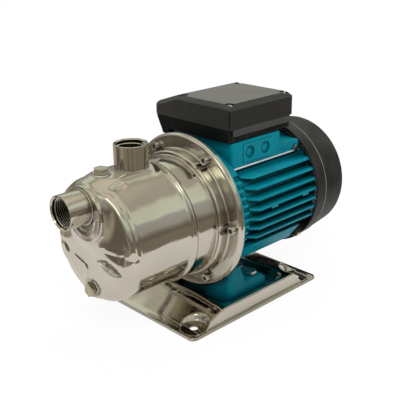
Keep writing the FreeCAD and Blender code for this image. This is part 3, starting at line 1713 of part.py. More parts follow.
def basePlate():
    """Pressed base plate: flat rim, raised ridge, sunken well and four bolt seats."""
    body = newBody("base_plate", z=0)
    sheetThick = d.baseSheet
    sketch = newSketch(body, "XY_Plane")
    box(sketch, (-d.baseLong / 2, -baseHalf), (d.baseLong / 2, baseHalf))
    pad(body, sketch, sheetThick)
    corners = [(sx * d.baseLong / 2, sy * baseHalf, sheetThick / 2)
               for sx in (-1, 1) for sy in (-1, 1)]
    soften(body, d.baseCorner, corners)
    low = newSketch(body, "XY_Plane", sheetThick / 2)
    box(low, (-panelLong, -panelHalf), (panelLong, panelHalf))
    high = newSketch(body, "XY_Plane", d.ridgeTop)
    box(high, (ridgeFront, -ridgeHalf), (ridgeRear, ridgeHalf))
    loft(body, "PartDesign::AdditiveLoft", low, high, True)
    keep = boltX + boltY - (d.boltFlat + sheetThick) * math.sqrt(2)
    low = newSketch(body, "XY_Plane", 0)
    plateOutline(low, -panelLong + sheetThick, panelLong - sheetThick, panelHalf - sheetThick, keep)
    high = newSketch(body, "XY_Plane", d.ridgeTop - sheetThick)
    plateOutline(high, ridgeFront + 1, ridgeRear - 1, ridgeHalf - sheetThick, keep)
    loft(body, "PartDesign::SubtractiveLoft", low, high, False)
    baseWell(body)
    baseHoles(body)


def baseWell(body):
    """Sunken well in the ridge, where the motor foot stands."""
    sheetThick = d.baseSheet
    sketch = newSketch(body, "XY_Plane", d.wellFloor - sheetThick)
    box(sketch, (wellFront - sheetThick, -wellHalf - sheetThick),
        (wellRear + sheetThick, wellHalf + sheetThick))
    pad(body, sketch, d.ridgeTop - d.wellFloor + sheetThick / 2)
    sketch = newSketch(body, "XY_Plane", d.ridgeTop + 1)
    box(sketch, (wellFront, -wellHalf), (wellRear, wellHalf))
    pocket(body, sketch, d.ridgeTop - d.wellFloor + 1)
    middle = (d.wellFloor + d.ridgeTop) / 2
    spots = [(x, sy * wellHalf, middle) for x in (wellFront, wellRear) for sy in (-1, 1)]
    soften(body, d.wellCorner, spots)


def baseHoles(body):
    """Flat bolt seats cut into the corners of the ridge, with their holes."""
    places = [(sx * boltX, sy * boltY) for sx in (-1, 1) for sy in (-1, 1)]
    sketch = newSketch(body, "XY_Plane", d.ridgeTop + 1)
    for x, y in places:
        circle(sketch, x, y, d.boltFlat)
    pocket(body, sketch, d.ridgeTop + 1 - d.baseSheet)
    sketch = newSketch(body, "XY_Plane", d.baseSheet + 1)
    for x, y in places:
        circle(sketch, x, y, d.boltHole)
    pocket(body, sketch, d.baseSheet + 2)
    sketch = newSketch(body, "XY_Plane", d.wellFloor + 1)
    for x, y in footPlaces():
        circle(sketch, x, y, d.footShank + d.looseGap)
    pocket(body, sketch, d.baseSheet + 2)


def writeParts():
    """Checks every object, then writes each sub-part to its own file."""
    doc.recompute()
    for item in doc.Objects:
        if "Invalid" in item.State or "Error" in item.State:
            raise RuntimeError(f"{item.Name} failed: {item.State}")
    for body in parts:
        if body.Shape.isNull() or not body.Shape.isValid():
            raise RuntimeError(f"{body.Label} has no valid shape")
    os.makedirs("parts", exist_ok=True)
    for body in parts:
        body.Shape.exportStep(f"parts/{body.Label}.step")
    print(len(parts), "sub-parts written")


pumpCasing()
ports()
plugs()
casingScrews()
sealPlate()
seals()
impeller()
diffuser()
venturi()
suctionChamber()
nozzle()
shaft()
rotorCore()
stator()
bearing("front_bearing", d.frontBearingX, d.frontBore, d.frontOuter, d.frontWide, d.frontBall)
bearing("rear_bearing", d.rearBearingX, d.rearBore, d.rearOuter, d.rearWide, d.rearBall)
motorBracket()
motorHousing()
rearShield()
tieRods()
fan()
fanCover()
fanCoverScrews()
terminalTray()
terminalLid()
lidScrews()
terminalParts()
motorFoot()
footScrews()
basePlate()
writeParts()
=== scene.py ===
import json
import math

import bmesh
import bpy
import numpy as np
from mathutils import Matrix, Vector, noise


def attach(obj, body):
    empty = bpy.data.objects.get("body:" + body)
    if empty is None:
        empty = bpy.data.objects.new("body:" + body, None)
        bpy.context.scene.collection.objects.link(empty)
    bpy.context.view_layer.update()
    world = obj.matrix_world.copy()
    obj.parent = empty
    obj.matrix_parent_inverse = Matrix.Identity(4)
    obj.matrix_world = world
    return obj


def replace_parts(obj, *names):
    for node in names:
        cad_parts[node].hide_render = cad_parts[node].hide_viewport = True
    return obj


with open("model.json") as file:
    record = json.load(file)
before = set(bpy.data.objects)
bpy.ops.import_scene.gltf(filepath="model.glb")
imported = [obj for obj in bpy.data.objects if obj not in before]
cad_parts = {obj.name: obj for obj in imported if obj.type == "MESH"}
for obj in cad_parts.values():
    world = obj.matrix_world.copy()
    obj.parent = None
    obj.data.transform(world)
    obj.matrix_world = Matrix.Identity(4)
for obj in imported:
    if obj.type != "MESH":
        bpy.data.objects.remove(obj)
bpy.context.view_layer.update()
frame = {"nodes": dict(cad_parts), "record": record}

mm = 0.001
shaftHeight = 114.3
bodyOf = {node: body for body, nodes in frame["record"]["behaviour"]["bodies"].items() for node in nodes}
slotOf = {part["node"]: part["material_slot"] for part in frame["record"]["subparts"]}
print("frame loaded:", len(frame["nodes"]), "nodes")


# camera, from the picture's own perspective
photo = {"azimuth": -43.72, "elevation": 20.64, "distance": 0.8448, "roll": -0.88,
         "target": (-0.0265, -0.0110, 0.1260), "lens": 64.1, "sensor": 36}


def placeCamera():
    turn, lift, roll = (math.radians(photo[key]) for key in ("azimuth", "elevation", "roll"))
    back = Vector((math.sin(turn) * math.cos(lift), -math.cos(turn) * math.cos(lift), math.sin(lift)))
    right = Vector((math.cos(turn), math.sin(turn), 0))
    up = back.cross(right)
    across = right * math.cos(roll) + up * math.sin(roll)
    above = up * math.cos(roll) - right * math.sin(roll)
    camera = bpy.data.objects.new("photoCamera", bpy.data.cameras.new("photoCamera"))
    camera.data.lens = photo["lens"]
    camera.data.sensor_width = photo["sensor"]
    place = Matrix((across, above, back)).transposed().to_4x4()
    place.translation = Vector(photo["target"]) + back * photo["distance"]
    camera.matrix_world = place
    bpy.context.scene.collection.objects.link(camera)
    bpy.context.scene.camera = camera


placeCamera()
print("camera placed")


# studio: pale floor, pale surroundings and three soft lamps
studio = {"ambient": 0.62, "floorSize": 0.72, "floorDrop": 0.0002, "floorColour": (0.86, 0.86, 0.86),
          "floorClear": 0.92,  # share of plain white in the floor that the camera sees
          "floorMirrored": (0.69, 0.66, 0.605), "mirroredShare": 0.6,  # the calmer floor in polished metal
          "lampAim": (0, 0, 0.1)}
lamps = {"keyLamp": {"place": (-0.9, -1.1, 1.6), "watts": 26, "size": 1.1},
         "fillLamp": {"place": (-1.6, 0.9, 0.9), "watts": 9, "size": 1.4},
         "rimLamp": {"place": (1.3, 0.3, 1.3), "watts": 12, "size": 0.9}}
room = {  # the pale room that polished metal mirrors
    "bands": [  # tones from straight down to straight up
        (0.0, (0.42, 0.37, 0.30)), (0.33, (0.24, 0.21, 0.165)), (0.47, (0.24, 0.21, 0.165)),
        (0.508, (0.16, 0.145, 0.115)), (0.55, (0.27, 0.245, 0.205)), (0.59, (0.42, 0.41, 0.37)),
        (0.69, (0.46, 0.465, 0.45)), (0.715, (0.76, 0.82, 0.70)), (0.835, (0.74, 0.78, 0.63)),
        (0.86, (0.50, 0.475, 0.40)), (0.895, (0.50, 0.475, 0.40)), (0.93, (0.74, 0.69, 0.57)),
        (1.0, (0.80, 0.76, 0.66))],
    "patches": [  # brighter or darker places: direction, dot product at rim and core, factor
        ((-0.91, 0.14, -0.37), (0.90, 0.985), 1.5), ((-0.62, 0.70, -0.33), (0.88, 0.975), 0.58),
        ((-0.24, 0.91, -0.35), (0.90, 0.97), 2.3), ((-0.70, -0.19, 0.68), (0.974, 0.990), 3.6)],
    "stripes": 13.0, "stripeShift": 0.6, "stripeStrength": 0.16,
    "stripeSide": (0.05, -0.35)}  # the stripes fade in over this stretch of x


def addLamp(name, settings):
    lamp = bpy.data.lights.new(name, "AREA")
    lamp.energy = settings["watts"]
    lamp.shape = "DISK"
    lamp.size = settings["size"]
    holder = bpy.data.objects.new(name, lamp)
    holder.location = settings["place"]
    holder.visible_glossy = False  # polished metal mirrors the room, not the lamps
    holder.rotation_mode = "QUATERNION"
    aim = Vector(studio["lampAim"]) - Vector(settings["place"])
    holder.rotation_quaternion = aim.to_track_quat("-Z", "Y")
    bpy.context.scene.collection.objects.link(holder)


def addNode(tree, kind, inputs={}, **options):  # an input is given as a value or as another node's socket
    node = tree.nodes.new("ShaderNode" + kind)
    for option, value in options.items():
        setattr(node, option, value)
    for name, value in inputs.items():
        if isinstance(value, bpy.types.NodeSocket):
            tree.links.new(value, node.inputs[name])
        else:
            node.inputs[name].default_value = value
    return node


def mapRange(tree, value, edges, low=0, high=1, style="LINEAR"):
    share = addNode(tree, "MapRange", {"Value": value, "From Min": edges[0], "From Max": edges[1],
                                       "To Min": low, "To Max": high}, interpolation_type=style)
    return share.outputs["Result"]


def multiplyColour(tree, colour, factor):
    mix = addNode(tree, "Mix", {"Factor": 1, "A": colour, "B": factor},
                  data_type="RGBA", blend_type="MULTIPLY")
    return mix.outputs["Result"]


def mixShaders(tree, share, first, second):
    return addNode(tree, "MixShader", {0: share, 1: first.outputs[0], 2: second.outputs[0]})


def seenByCamera(tree):
    path = addNode(tree, "LightPath")
    rays = {0: path.outputs["Is Camera Ray"], 1: path.outputs["Is Transmission Ray"]}
    return path, addNode(tree, "Math", rays, operation="MAXIMUM").outputs[0]


def paintRoom(tree, vector, split, colour):
    for direction, edges, factor in room["patches"]:
        dot = addNode(tree, "VectorMath", {0: vector, 1: direction}, operation="DOT_PRODUCT")
        share = mapRange(tree, dot.outputs["Value"], edges, 1, factor, "SMOOTHSTEP")
        colour = multiplyColour(tree, colour, share)
    # faint upright stripes on the side that the front mirrors
    turn = addNode(tree, "Math", {0: split.outputs["Y"], 1: split.outputs["X"]}, operation="ARCTAN2")
    angle = addNode(tree, "Math", {0: turn.outputs[0], 1: room["stripes"], 2: room["stripeShift"]},
                    operation="MULTIPLY_ADD")
    ripple = addNode(tree, "Math", {0: angle.outputs[0]}, operation="SINE")
    side = mapRange(tree, split.outputs["X"], room["stripeSide"], 0, room["stripeStrength"])
    stripe = addNode(tree, "Math", {0: ripple.outputs[0], 1: side, 2: 1}, operation="MULTIPLY_ADD")
    return multiplyColour(tree, colour, stripe.outputs[0])


def buildSurroundings():
    world = bpy.data.worlds.new("studioWorld")
    bpy.context.scene.world = world
    world.use_nodes = True
    tree = world.node_tree
    tree.nodes.clear()
    path, seen = seenByCamera(tree)
    place = addNode(tree, "TexCoord").outputs["Generated"]
    split = addNode(tree, "SeparateXYZ", {0: place})
    bands = addNode(tree, "ValToRGB", {"Fac": mapRange(tree, split.outputs["Z"], (-1, 1))})
    ramp = bands.color_ramp
    while len(ramp.elements) < len(room["bands"]):
        ramp.elements.new(0.5)
    for element, (spot, colour) in zip(ramp.elements, room["bands"]):
        element.position = spot
        element.color = (*colour, 1)
    painted = paintRoom(tree, place, split, bands.outputs["Color"])
    ambient = addNode(tree, "Background", {"Color": (1, 1, 1, 1), "Strength": studio["ambient"]})
    mirrored = addNode(tree, "Background", {"Color": painted, "Strength": 1})
    white = addNode(tree, "Background", {"Color": (1, 1, 1, 1), "Strength": 1})
    unseen = mixShaders(tree, path.outputs["Is Glossy Ray"], ambient, mirrored)
    surroundings = mixShaders(tree, seen, unseen, white)
    addNode(tree, "OutputWorld", {"Surface": surroundings.outputs[0]})


def buildFloor():
    shape = bmesh.new()
    bmesh.ops.create_grid(shape, x_segments=2, y_segments=2, size=studio["floorSize"] / 2)
    bmesh.ops.translate(shape, verts=shape.verts, vec=(0, 0, -studio["floorDrop"]))
    mesh = bpy.data.meshes.new("studioFloor")
    shape.to_mesh(mesh)
    shape.free()
    floor = bpy.data.objects.new("studioFloor", mesh)
    bpy.context.scene.collection.objects.link(floor)
    finish = bpy.data.materials.new("floorFinish")
    finish.use_nodes = True
    tree = finish.node_tree
    tree.nodes.clear()
    path, seen = seenByCamera(tree)
    matt = addNode(tree, "BsdfDiffuse", {"Color": (*studio["floorColour"], 1)})
    glow = addNode(tree, "Emission", {"Strength": 1})
    mirrored = addNode(tree, "Emission", {"Color": (*studio["floorMirrored"], 1)})
    clear = addNode(tree, "Math", {0: seen, 1: studio["floorClear"]}, operation="MULTIPLY")
    calm = addNode(tree, "Math", {0: path.outputs["Is Glossy Ray"], 1: studio["mirroredShare"]},
                   operation="MULTIPLY")
    plain = mixShaders(tree, clear.outputs[0], matt, glow)
    last = mixShaders(tree, calm.outputs[0], plain, mirrored)
    addNode(tree, "OutputMaterial", {"Surface": last.outputs[0]})
    floor.data.materials.append(finish)


buildSurroundings()
buildFloor()
for lampName, lampSettings in lamps.items():
    addLamp(lampName, lampSettings)
bpy.context.scene.view_settings.view_transform = "Standard"
print("studio lit")


# finishes: a look for each material slot, and a few copies of them with another tone, painted shade or a
# painted highlight
# patch, waveScale and grain (for x, y and z) are the patterns' scales per metre
usualLook = {"metal": 0, "gloss": 0.5, "patch": 60, "spread": 0.05, "bump": 0.05,
             "wave": 0.02, "waveScale": 60}
looks = {
    "stainless": {"colour": (0.595, 0.552, 0.485), "second": (0.64, 0.60, 0.53), "patch": 18, "metal": 1,
                  "rough": 0.10, "spread": 0.045, "grain": (260, 30, 30), "bump": 0.015,
                  "wave": 0.035, "waveScale": 22, "hollow": 0.022, "deep": 0.22},
    "teal_casting": {"colour": (0.0, 0.180, 0.236), "second": (0.0, 0.213, 0.273), "patch": 45,
                     "gloss": 0.11, "rough": 0.34, "spread": 0.08, "grain": (700, 700, 700), "bump": 0.10,
                     "wave": 0.05, "waveScale": 160, "hollow": 0.018, "deep": 0.16},
    "black_plastic": {"colour": (0.0105, 0.011, 0.0105), "second": (0.014, 0.0145, 0.0135), "gloss": 0.62,
                      "rough": 0.38, "spread": 0.06, "grain": (1500, 1500, 1500), "bump": 0.14,
                      "hollow": 0.010, "deep": 0.2, "sheenAndDust": (0.108, 0.104, 0.092)},
    "black_cover": {"colour": (0.014, 0.0135, 0.012), "second": (0.030, 0.029, 0.026), "patch": 40,
                    "gloss": 0.16, "rough": 0.46, "spread": 0.08, "grain": (6, 420, 420), "bump": 0.22,
                    "hollow": 0.008, "deep": 0.2},
    "corner_black": {"colour": (0.004, 0.0042, 0.0045), "second": (0.006, 0.0062, 0.0065), "gloss": 0.16,
                     "rough": 0.30, "grain": (1500, 1500, 1500), "bump": 0.06, "wave": 0.0},
    # a pale grey that paints the highlight along the fan cover's crease
    "cover_crease_highlight": {"colour": (0.15, 0.145, 0.135), "second": (0.20, 0.195, 0.185), "rough": 0.45,
                   "grain": (900, 900, 900), "wave": 0.0},
    "grey_band": {"colour": (0.040, 0.040, 0.041), "second": (0.048, 0.048, 0.049), "gloss": 0.6,
                  "rough": 0.34, "grain": (1500, 1500, 1500), "bump": 0.08},
    "white_plastic": {"colour": (0.66, 0.65, 0.60), "second": (0.72, 0.71, 0.67), "patch": 50,
                      "rough": 0.42, "grain": (900, 900, 900)},
    "seal_rubber": {"colour": (0.018, 0.018, 0.018), "second": (0.03, 0.03, 0.03), "patch": 90,
                    "rough": 0.62, "spread": 0.08, "grain": (1600, 1600, 1600), "bump": 0.12,
                    "waveScale": 80},
    "nickel_brass": {"colour": (0.70, 0.65, 0.50), "second": (0.78, 0.73, 0.59), "patch": 70, "metal": 1,
                     "rough": 0.22, "spread": 0.07, "grain": (900, 900, 120), "wave": 0.03,
                     "waveScale": 120, "hollow": 0.008, "deep": 0.4},
    "zinc_steel": {"colour": (0.56, 0.55, 0.52), "second": (0.66, 0.65, 0.62), "patch": 90, "metal": 1,
                   "rough": 0.20, "spread": 0.06, "grain": (900, 900, 900), "wave": 0.03,
                   "waveScale": 150, "hollow": 0.005, "deep": 0.06},
    "bright_zinc": {"colour": (0.82, 0.82, 0.80), "second": (0.90, 0.90, 0.88), "patch": 90, "metal": 0.35,
                    "gloss": 0.8, "rough": 0.30, "grain": (900, 900, 900), "bump": 0.03, "wave": 0.0,
                    "waveScale": 150},
    "seal_carbon": {"colour": (0.022, 0.022, 0.023), "second": (0.04, 0.04, 0.042), "patch": 150,
                    "rough": 0.45, "spread": 0.08, "grain": (2200, 2200, 2200), "wave": 0.0, "waveScale": 80},
    "seal_ceramic": {"colour": (0.78, 0.76, 0.69), "second": (0.83, 0.82, 0.76), "patch": 120,
                     "rough": 0.25, "grain": (1500, 1500, 1500), "bump": 0.03, "wave": 0.0, "waveScale": 80},
    "noryl": {"colour": (0.025, 0.025, 0.027), "second": (0.034, 0.034, 0.036), "patch": 80,
              "rough": 0.48, "spread": 0.08, "grain": (1200, 1200, 1200), "bump": 0.10, "waveScale": 80},
    "lamination": {"colour": (0.20, 0.20, 0.205), "second": (0.30, 0.30, 0.31), "patch": 100, "metal": 1,
                   "rough": 0.42, "spread": 0.10, "grain": (2400, 8, 8), "bump": 0.35, "wave": 0.0,
                   "waveScale": 80},
    "copper_winding": {"colour": (0.50, 0.20, 0.085), "second": (0.66, 0.30, 0.13), "patch": 140,
                       "metal": 1, "rough": 0.34, "spread": 0.10, "grain": (1500, 60, 1500), "bump": 0.45,
                       "wave": 0.1, "waveScale": 90},
    "bearing_steel": {"colour": (0.60, 0.60, 0.61), "second": (0.68, 0.68, 0.69), "patch": 120, "metal": 1,
                      "rough": 0.14, "grain": (1400, 60, 60), "bump": 0.03, "wave": 0.0, "waveScale": 80},
    "capacitor_can": {"colour": (0.66, 0.66, 0.67), "second": (0.74, 0.74, 0.75), "metal": 1,
                      "rough": 0.30, "spread": 0.06, "grain": (60, 1300, 1300), "bump": 0.06},
}
# the teal paint darkened as painted shade, for the motor foot in its well and for the knockout rings
looks["teal_painted_shade"] = dict(looks["teal_casting"], colour=(0.0, 0.098, 0.130), second=(0.0, 0.118, 0.152),
                           gloss=0.1, rough=0.40)
looks["stainless_less_shade"] = dict(looks["stainless"], deep=0.62)  # less painted shade in the bore: the discharge tube lets more light in
looks["stainless_deep_shade"] = dict(looks["stainless"], deep=0.05, hollow=0.030)  # deep painted shade in the bore: the suction tube lets hardly any light in
looks["aged_brass"] = dict(looks["nickel_brass"], colour=(0.40, 0.35, 0.25), second=(0.50, 0.45, 0.34))
pattern = {"toneEdges": (0.35, 0.65), "roughEdges": (0.3, 0.7), "grainDeep": 0.0005,
           "sheenAndDustEdges": (0.86, 0.995), "hollowEdges": (0.15, 0.85), "hollowSamples": 6}
finishes = {}


def addNoise(tree, vector, scale, detail=3):
    return addNode(tree, "TexNoise", {"Scale": scale, "Detail": detail, "Vector": vector}).outputs["Fac"]


def paintSheenAndDust(tree, colour, sheenAndDust):  # faces that look up are paler: painted sheen, with some dust
    normal = addNode(tree, "NewGeometry").outputs["Normal"]
    upward = addNode(tree, "SeparateXYZ", {0: normal}).outputs["Z"]
    facing = mapRange(tree, upward, pattern["sheenAndDustEdges"])
    mix = addNode(tree, "Mix", {"Factor": facing, "A": colour, "B": (*sheenAndDust, 1)}, data_type="RGBA")
    return mix.outputs["Result"]


def paintShadeInHollows(tree, colour, look):  # painted shade, with some grime, darkens the colour in bores, gaps and corners; deep is its darkest share
    near = addNode(tree, "AmbientOcclusion", {"Distance": look["hollow"]}, samples=pattern["hollowSamples"])
    paintedShade = mapRange(tree, near.outputs["AO"], pattern["hollowEdges"], look["deep"])
    return multiplyColour(tree, colour, paintedShade)


def buildFinish(name, look):
    finish = bpy.data.materials.new(name)
    finish.use_nodes = True
    tree = finish.node_tree
    shader = tree.nodes["Principled BSDF"]
    shader.inputs["Metallic"].default_value = look["metal"]
    shader.inputs["Specular IOR Level"].default_value = look["gloss"]
    place = addNode(tree, "TexCoord").outputs["Object"]
    tones = addNode(tree, "ValToRGB", {"Fac": addNoise(tree, place, look["patch"])})
    for element, edge, tone in zip(tones.color_ramp.elements, pattern["toneEdges"], ("colour", "second")):
        element.position = edge
        element.color = (*look[tone], 1)
    colour = tones.outputs["Color"]
    if "sheenAndDust" in look:
        colour = paintSheenAndDust(tree, colour, look["sheenAndDust"])
    # painted shade in hollows, from ambient occlusion
    if "hollow" in look:
        colour = paintShadeInHollows(tree, colour, look)
    tree.links.new(colour, shader.inputs["Base Color"])
    stretch = addNode(tree, "Mapping", {"Scale": look["grain"], "Vector": place})
    fine = addNoise(tree, stretch.outputs["Vector"], 1, 4)
    rough = mapRange(tree, fine, pattern["roughEdges"], look["rough"] - look["spread"],
                     look["rough"] + look["spread"])
    tree.links.new(rough, shader.inputs["Roughness"])
    wave = addNode(tree, "Bump", {"Strength": look["wave"], "Distance": 1 / look["waveScale"],
                                  "Height": addNoise(tree, place, look["waveScale"], 1)})
    relief = addNode(tree, "Bump", {"Strength": look["bump"], "Distance": pattern["grainDeep"],
                                    "Height": fine, "Normal": wave.outputs["Normal"]})
    tree.links.new(relief.outputs["Normal"], shader.inputs["Normal"])
    finishes[name] = finish


for lookName, look in looks.items():
    buildFinish(lookName, {**usualLook, **look})
for node, part in frame["nodes"].items():
    part.data.materials.clear()
    part.data.materials.append(finishes[slotOf[node]])
print("finishes built:", len(finishes))


# helpers that make a piece, and copies of the CAD's cast, moulded and turned pieces with rounded edges
rounding = {"segments": 2, "angle": 32, "mergeWithin": 0.002, "flatWithin": 0.6,
            "cornerSegments": 5, "cornerWithin": 0.2}


def addPiece(name, shape, slotName, body, smoothAngle=40, finish=None):
    mesh = bpy.data.meshes.new(name)
    shape.to_mesh(mesh)
    shape.free()
    mesh.materials.append(finishes[finish or slotName])
    mesh.shade_smooth()
    mesh.set_sharp_from_angle(angle=math.radians(smoothAngle))
    piece = bpy.data.objects.new(name, mesh)
    bpy.context.scene.collection.objects.link(piece)
    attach(piece, body)
    return piece


def roundEdges(piece, width):
    bevel = piece.modifiers.new("edgeRound", "BEVEL")
    bevel.width = width * mm
    bevel.segments = rounding["segments"]
    bevel.limit_method = "ANGLE"
    bevel.angle_limit = math.radians(rounding["angle"])
    bevel.use_clamp_overlap = True
    bevel.harden_normals = True


def copyNode(node):
    shape = bmesh.new()
    shape.from_mesh(frame["nodes"][node].data)
    bmesh.ops.remove_doubles(shape, verts=shape.verts, dist=rounding["mergeWithin"] * mm)
    bmesh.ops.dissolve_limit(shape, angle_limit=math.radians(rounding["flatWithin"]),
                             verts=shape.verts, edges=shape.edges)
    return shape


roundedNodes = {  # edge radius in mm
    "motor_housing": 0.7, "motor_bracket": 0.7, "motor_foot": 1.6, "terminal_tray": 0.8, "terminal_lid": 1.4,
    "fan_cover": 0.5, "casing_screws": 0.45, "filler_plug": 0.5, "drain_plug": 0.5, "foot_screws": 0.5,
    "earth_screw": 0.3, "fan_cover_screws": 0.4, "fan": 0.3, "rear_shield": 0.6,
}
boxCorners = {  # upright corner edges of the terminal box: x, y and radius in mm
    "terminal_lid": [(-20.0, -53.0, 5.0), (89.0, -53.0, 5.0), (-20.0, 72.5, 4.0), (89.0, 72.5, 4.0)],
    "terminal_tray": [(-18.5, -51.0, 4.0), (87.5, -51.0, 4.0)],
}
# the motor foot gets the teal with painted shade
nodeFinish = {"fan_cover": "black_cover", "terminal_tray": "corner_black", "motor_foot": "teal_painted_shade",
              "drain_plug": "aged_brass"}


def roundCorners(shape, places):
    reach = rounding["cornerWithin"]
    for x, y, radius in places:
        upright = [e for e in shape.edges if all(
            abs(v.co.x / mm - x) < reach and abs(v.co.y / mm - y) < reach for v in e.verts)]
        made = bmesh.ops.bevel(shape, geom=upright, offset=radius * mm, offset_type="OFFSET", affect="EDGES",
                               segments=rounding["cornerSegments"], profile=0.5, clamp_overlap=True,
                               material=-1)
        for face in made["faces"]:
            face.material_index = 1


def roundNodes():
    for node, width in roundedNodes.items():
        shape = copyNode(node)
        roundCorners(shape, boxCorners.get(node, []))
        piece = addPiece(node + "_rounded", shape, slotOf[node], bodyOf[node], finish=nodeFinish.get(node))
        if node in boxCorners:
            piece.data.materials.append(finishes["corner_black"])
        roundEdges(piece, width)
        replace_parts(piece, node)
    print("edges rounded on", len(roundedNodes), "pieces")


roundNodes()


# pump casing: a pressed skin, dense enough for mirror reflections
# lengths in mm, z from the shaft, and turns about the shaft in degrees from the near side, 90 at the top
casing = {
    "around": 360, "frontSteps": 75, "knuckleSteps": 40, "drumSteps": 40, "beadSteps": 24,
    "front": -176.0, "rise": 5.5, "flat": 54.5, "drum": 68.5, "innerDrum": 66.5, "turnX": -150.0,
    "knuckle": 14.0, "crisp": 5.0, "crispTurn": (-1, 9, 62, 84),
    "farShoulder": 0.75, "farTurn": (92, 108, 140, 160),
    "bowl": 16.0, "bowlAhead": 3.5, "bowlBelow": (-12, 8), "bowlReach": 48.0,
    "padFront": -168.0, "padBack": -93.0, "padHalf": 24.0, "padMiddle": 40.0, "padTop": 72.0,
    "padRound": 7.0, "padPlan": 19.0, "padBlend": 7.0,
    "hoodZ": 34.5, "hoodRadius": 35.0, "hoodFront": -182.0, "hoodRound": 9.0, "hoodBlend": 12.0,
    "beadX": -90.4, "beadReach": 8.0, "beadWide": 2.17, "beadHigh": 2.3, "beadClimb": 0.7,
    "neck": 71.0, "bend": 1.5, "stepX": -58.4, "step": 75.9, "stepRound": 2.5,
    "flangeX": -44.7, "flange": 94.1, "rim": 4.5, "lip": 1.5, "sheet": 2.0, "wall": 3.2,
    "screws": 6, "screwCircle": 83.5, "dent": 9.2, "dentX": (-59.0, -44.71), "dentAbove": 72.0,
    "mergeWithin": 0.0005, "slack": 0.1,
    "bumps": [  # centre y, centre z, half width y, half width z, turn in degrees, height
        (50, -22, 15, 13, 0, 1.5), (8, -33, 6, 11, 8, 1.1), (17, -21, 14, 2.6, 14, -0.8),
        (-27, -13.6, 3.6, 3.6, 0, 7.2)],
    "lobeEdge": [  # y and z of the lobe's upper edge, and beyond its ends lobeOff
        (-70, -10), (-65, -1), (-62, 4), (-56, 9), (-48, 10.5), (-34, 8.5), (-20, 2.5), (-11, -5), (-6, -16)],
    "lobeOff": -60, "lobeHigh": 1.0, "lobeAbove": 11.0, "lobeBelow": 17.0, "lobeSide": (4, 14),
    "lobeFoot": (-50, -14), "reliefAhead": (162, 172),
    "almond": {"centre": (-34, -16.2), "half": 20.0, "wide": 6.5, "turn": 9.0, "deep": 4.8},
    "drainSeat": {"x": -178.2, "z": -53.0, "flat": 9.6, "blend": 5.0, "ahead": (150, 165)},
    "fillerSeat": {"x": -158.4, "z": 73.2, "flat": 9.6, "blend": 1.6, "above": (45, 60)},
    "dimple": {"x": -157.0, "turn": 68.5, "halfLong": 11.0, "halfWide": 5.0, "deep": 2.0},
    "fold": [(-171.6, 0.9, 0.40), (-168.2, 1.4, -0.55), (-164.8, 1.3, 0.28)],  # x, half width, rise
    "foldTurn": (-3, 3, 58, 70), "foldAway": (58, 62),
    "notch": {"x": (-174.0, -169.5), "turn": (70.0, 63.0), "halfWide": 1.5, "deep": 1.3, "radius": 68.0,
              "away": (50, 60)},
    "pressEnd": -95.0, "searchIn": 12, "searchOut": 40, "halvings": 26,  # the form is sought along each ray
    "portBore": 16.0, "portDeep": 12.0, "suctionZ": 44.7, "suctionAhead": -165.0,
    "dischargeX": -117.6, "dischargeAbove": 55.0}


def smoothUnion(first, second, reach):
    share = np.clip(0.5 + 0.5 * (second - first) / reach, 0, 1)
    return second * (1 - share) + first * share - reach * share * (1 - share)


def easeIn(low, high, value):
    share = np.clip((value - low) / (high - low), 0, 1)
    return share * share * (3 - 2 * share)


def easeInOut(stops, value):  # rises from the first stop to the second, falls from the third to the fourth
    return easeIn(stops[0], stops[1], value) * easeIn(-stops[3], -stops[2], -value)


def roundedForm(over, ahead, soft):  # distance from two faces that meet in a rounded edge
    outside = np.hypot(np.maximum(over, 0), np.maximum(ahead, 0))
    return outside + np.minimum(np.maximum(over, ahead), 0) - soft


def casingField(spots):  # signed distance to the pressed form, below zero inside
    x, y, z = spots[:, 0], spots[:, 1], spots[:, 2]
    away = np.hypot(y, z)
    turn = np.degrees(np.arctan2(z, -y))
    low = easeIn(*casing["bowlBelow"], -z)
    sharp = easeInOut(casing["crispTurn"], turn)
    sharp = np.maximum(sharp, casing["farShoulder"] * easeInOut(casing["farTurn"], turn))
    knuckle = casing["knuckle"] + (casing["bowl"] - casing["knuckle"]) * low
    knuckle = knuckle + (casing["crisp"] - knuckle) * sharp
    level = casing["drum"] - knuckle
    front = casing["front"] - casing["bowlAhead"] * low * np.clip(away / casing["bowlReach"], 0, 1) ** 2
    face = front - casing["rise"] * (1 - np.clip(away / level, 0, 1) ** 2)
    ahead = front + knuckle - x
    over = away - level
    edge = np.hypot(np.maximum(ahead, 0), np.maximum(over, 0)) - knuckle
    body = np.where(over <= 0, face - x, np.where(ahead <= 0, away - casing["drum"], edge))
    plan = casing["padPlan"]
    middle = (casing["padFront"] + casing["padBack"]) / 2
    longHalf = (casing["padBack"] - casing["padFront"]) / 2 - plan
    flat = roundedForm(np.abs(x - middle) - longHalf, np.abs(y) - casing["padHalf"] + plan, plan)
    soft = casing["padRound"]
    high = np.abs(z - casing["padMiddle"]) - casing["padTop"] + casing["padMiddle"]
    pad = roundedForm(flat + soft, high + soft, soft)
    soft = casing["hoodRound"]
    side = np.hypot(y, z - casing["hoodZ"]) - casing["hoodRadius"]
    hood = roundedForm(side + soft, casing["hoodFront"] + soft - x, soft)
    return smoothUnion(smoothUnion(body, pad, casing["padBlend"]), hood, casing["hoodBlend"])


def turnedPlace(y, z, centre, degrees):  # how far along and across a line that is turned in the front's plane
    angle = math.radians(degrees)
    along = (y - centre[0]) * math.cos(angle) + (z - centre[1]) * math.sin(angle)
    across = (z - centre[1]) * math.cos(angle) - (y - centre[0]) * math.sin(angle)
    return along, across


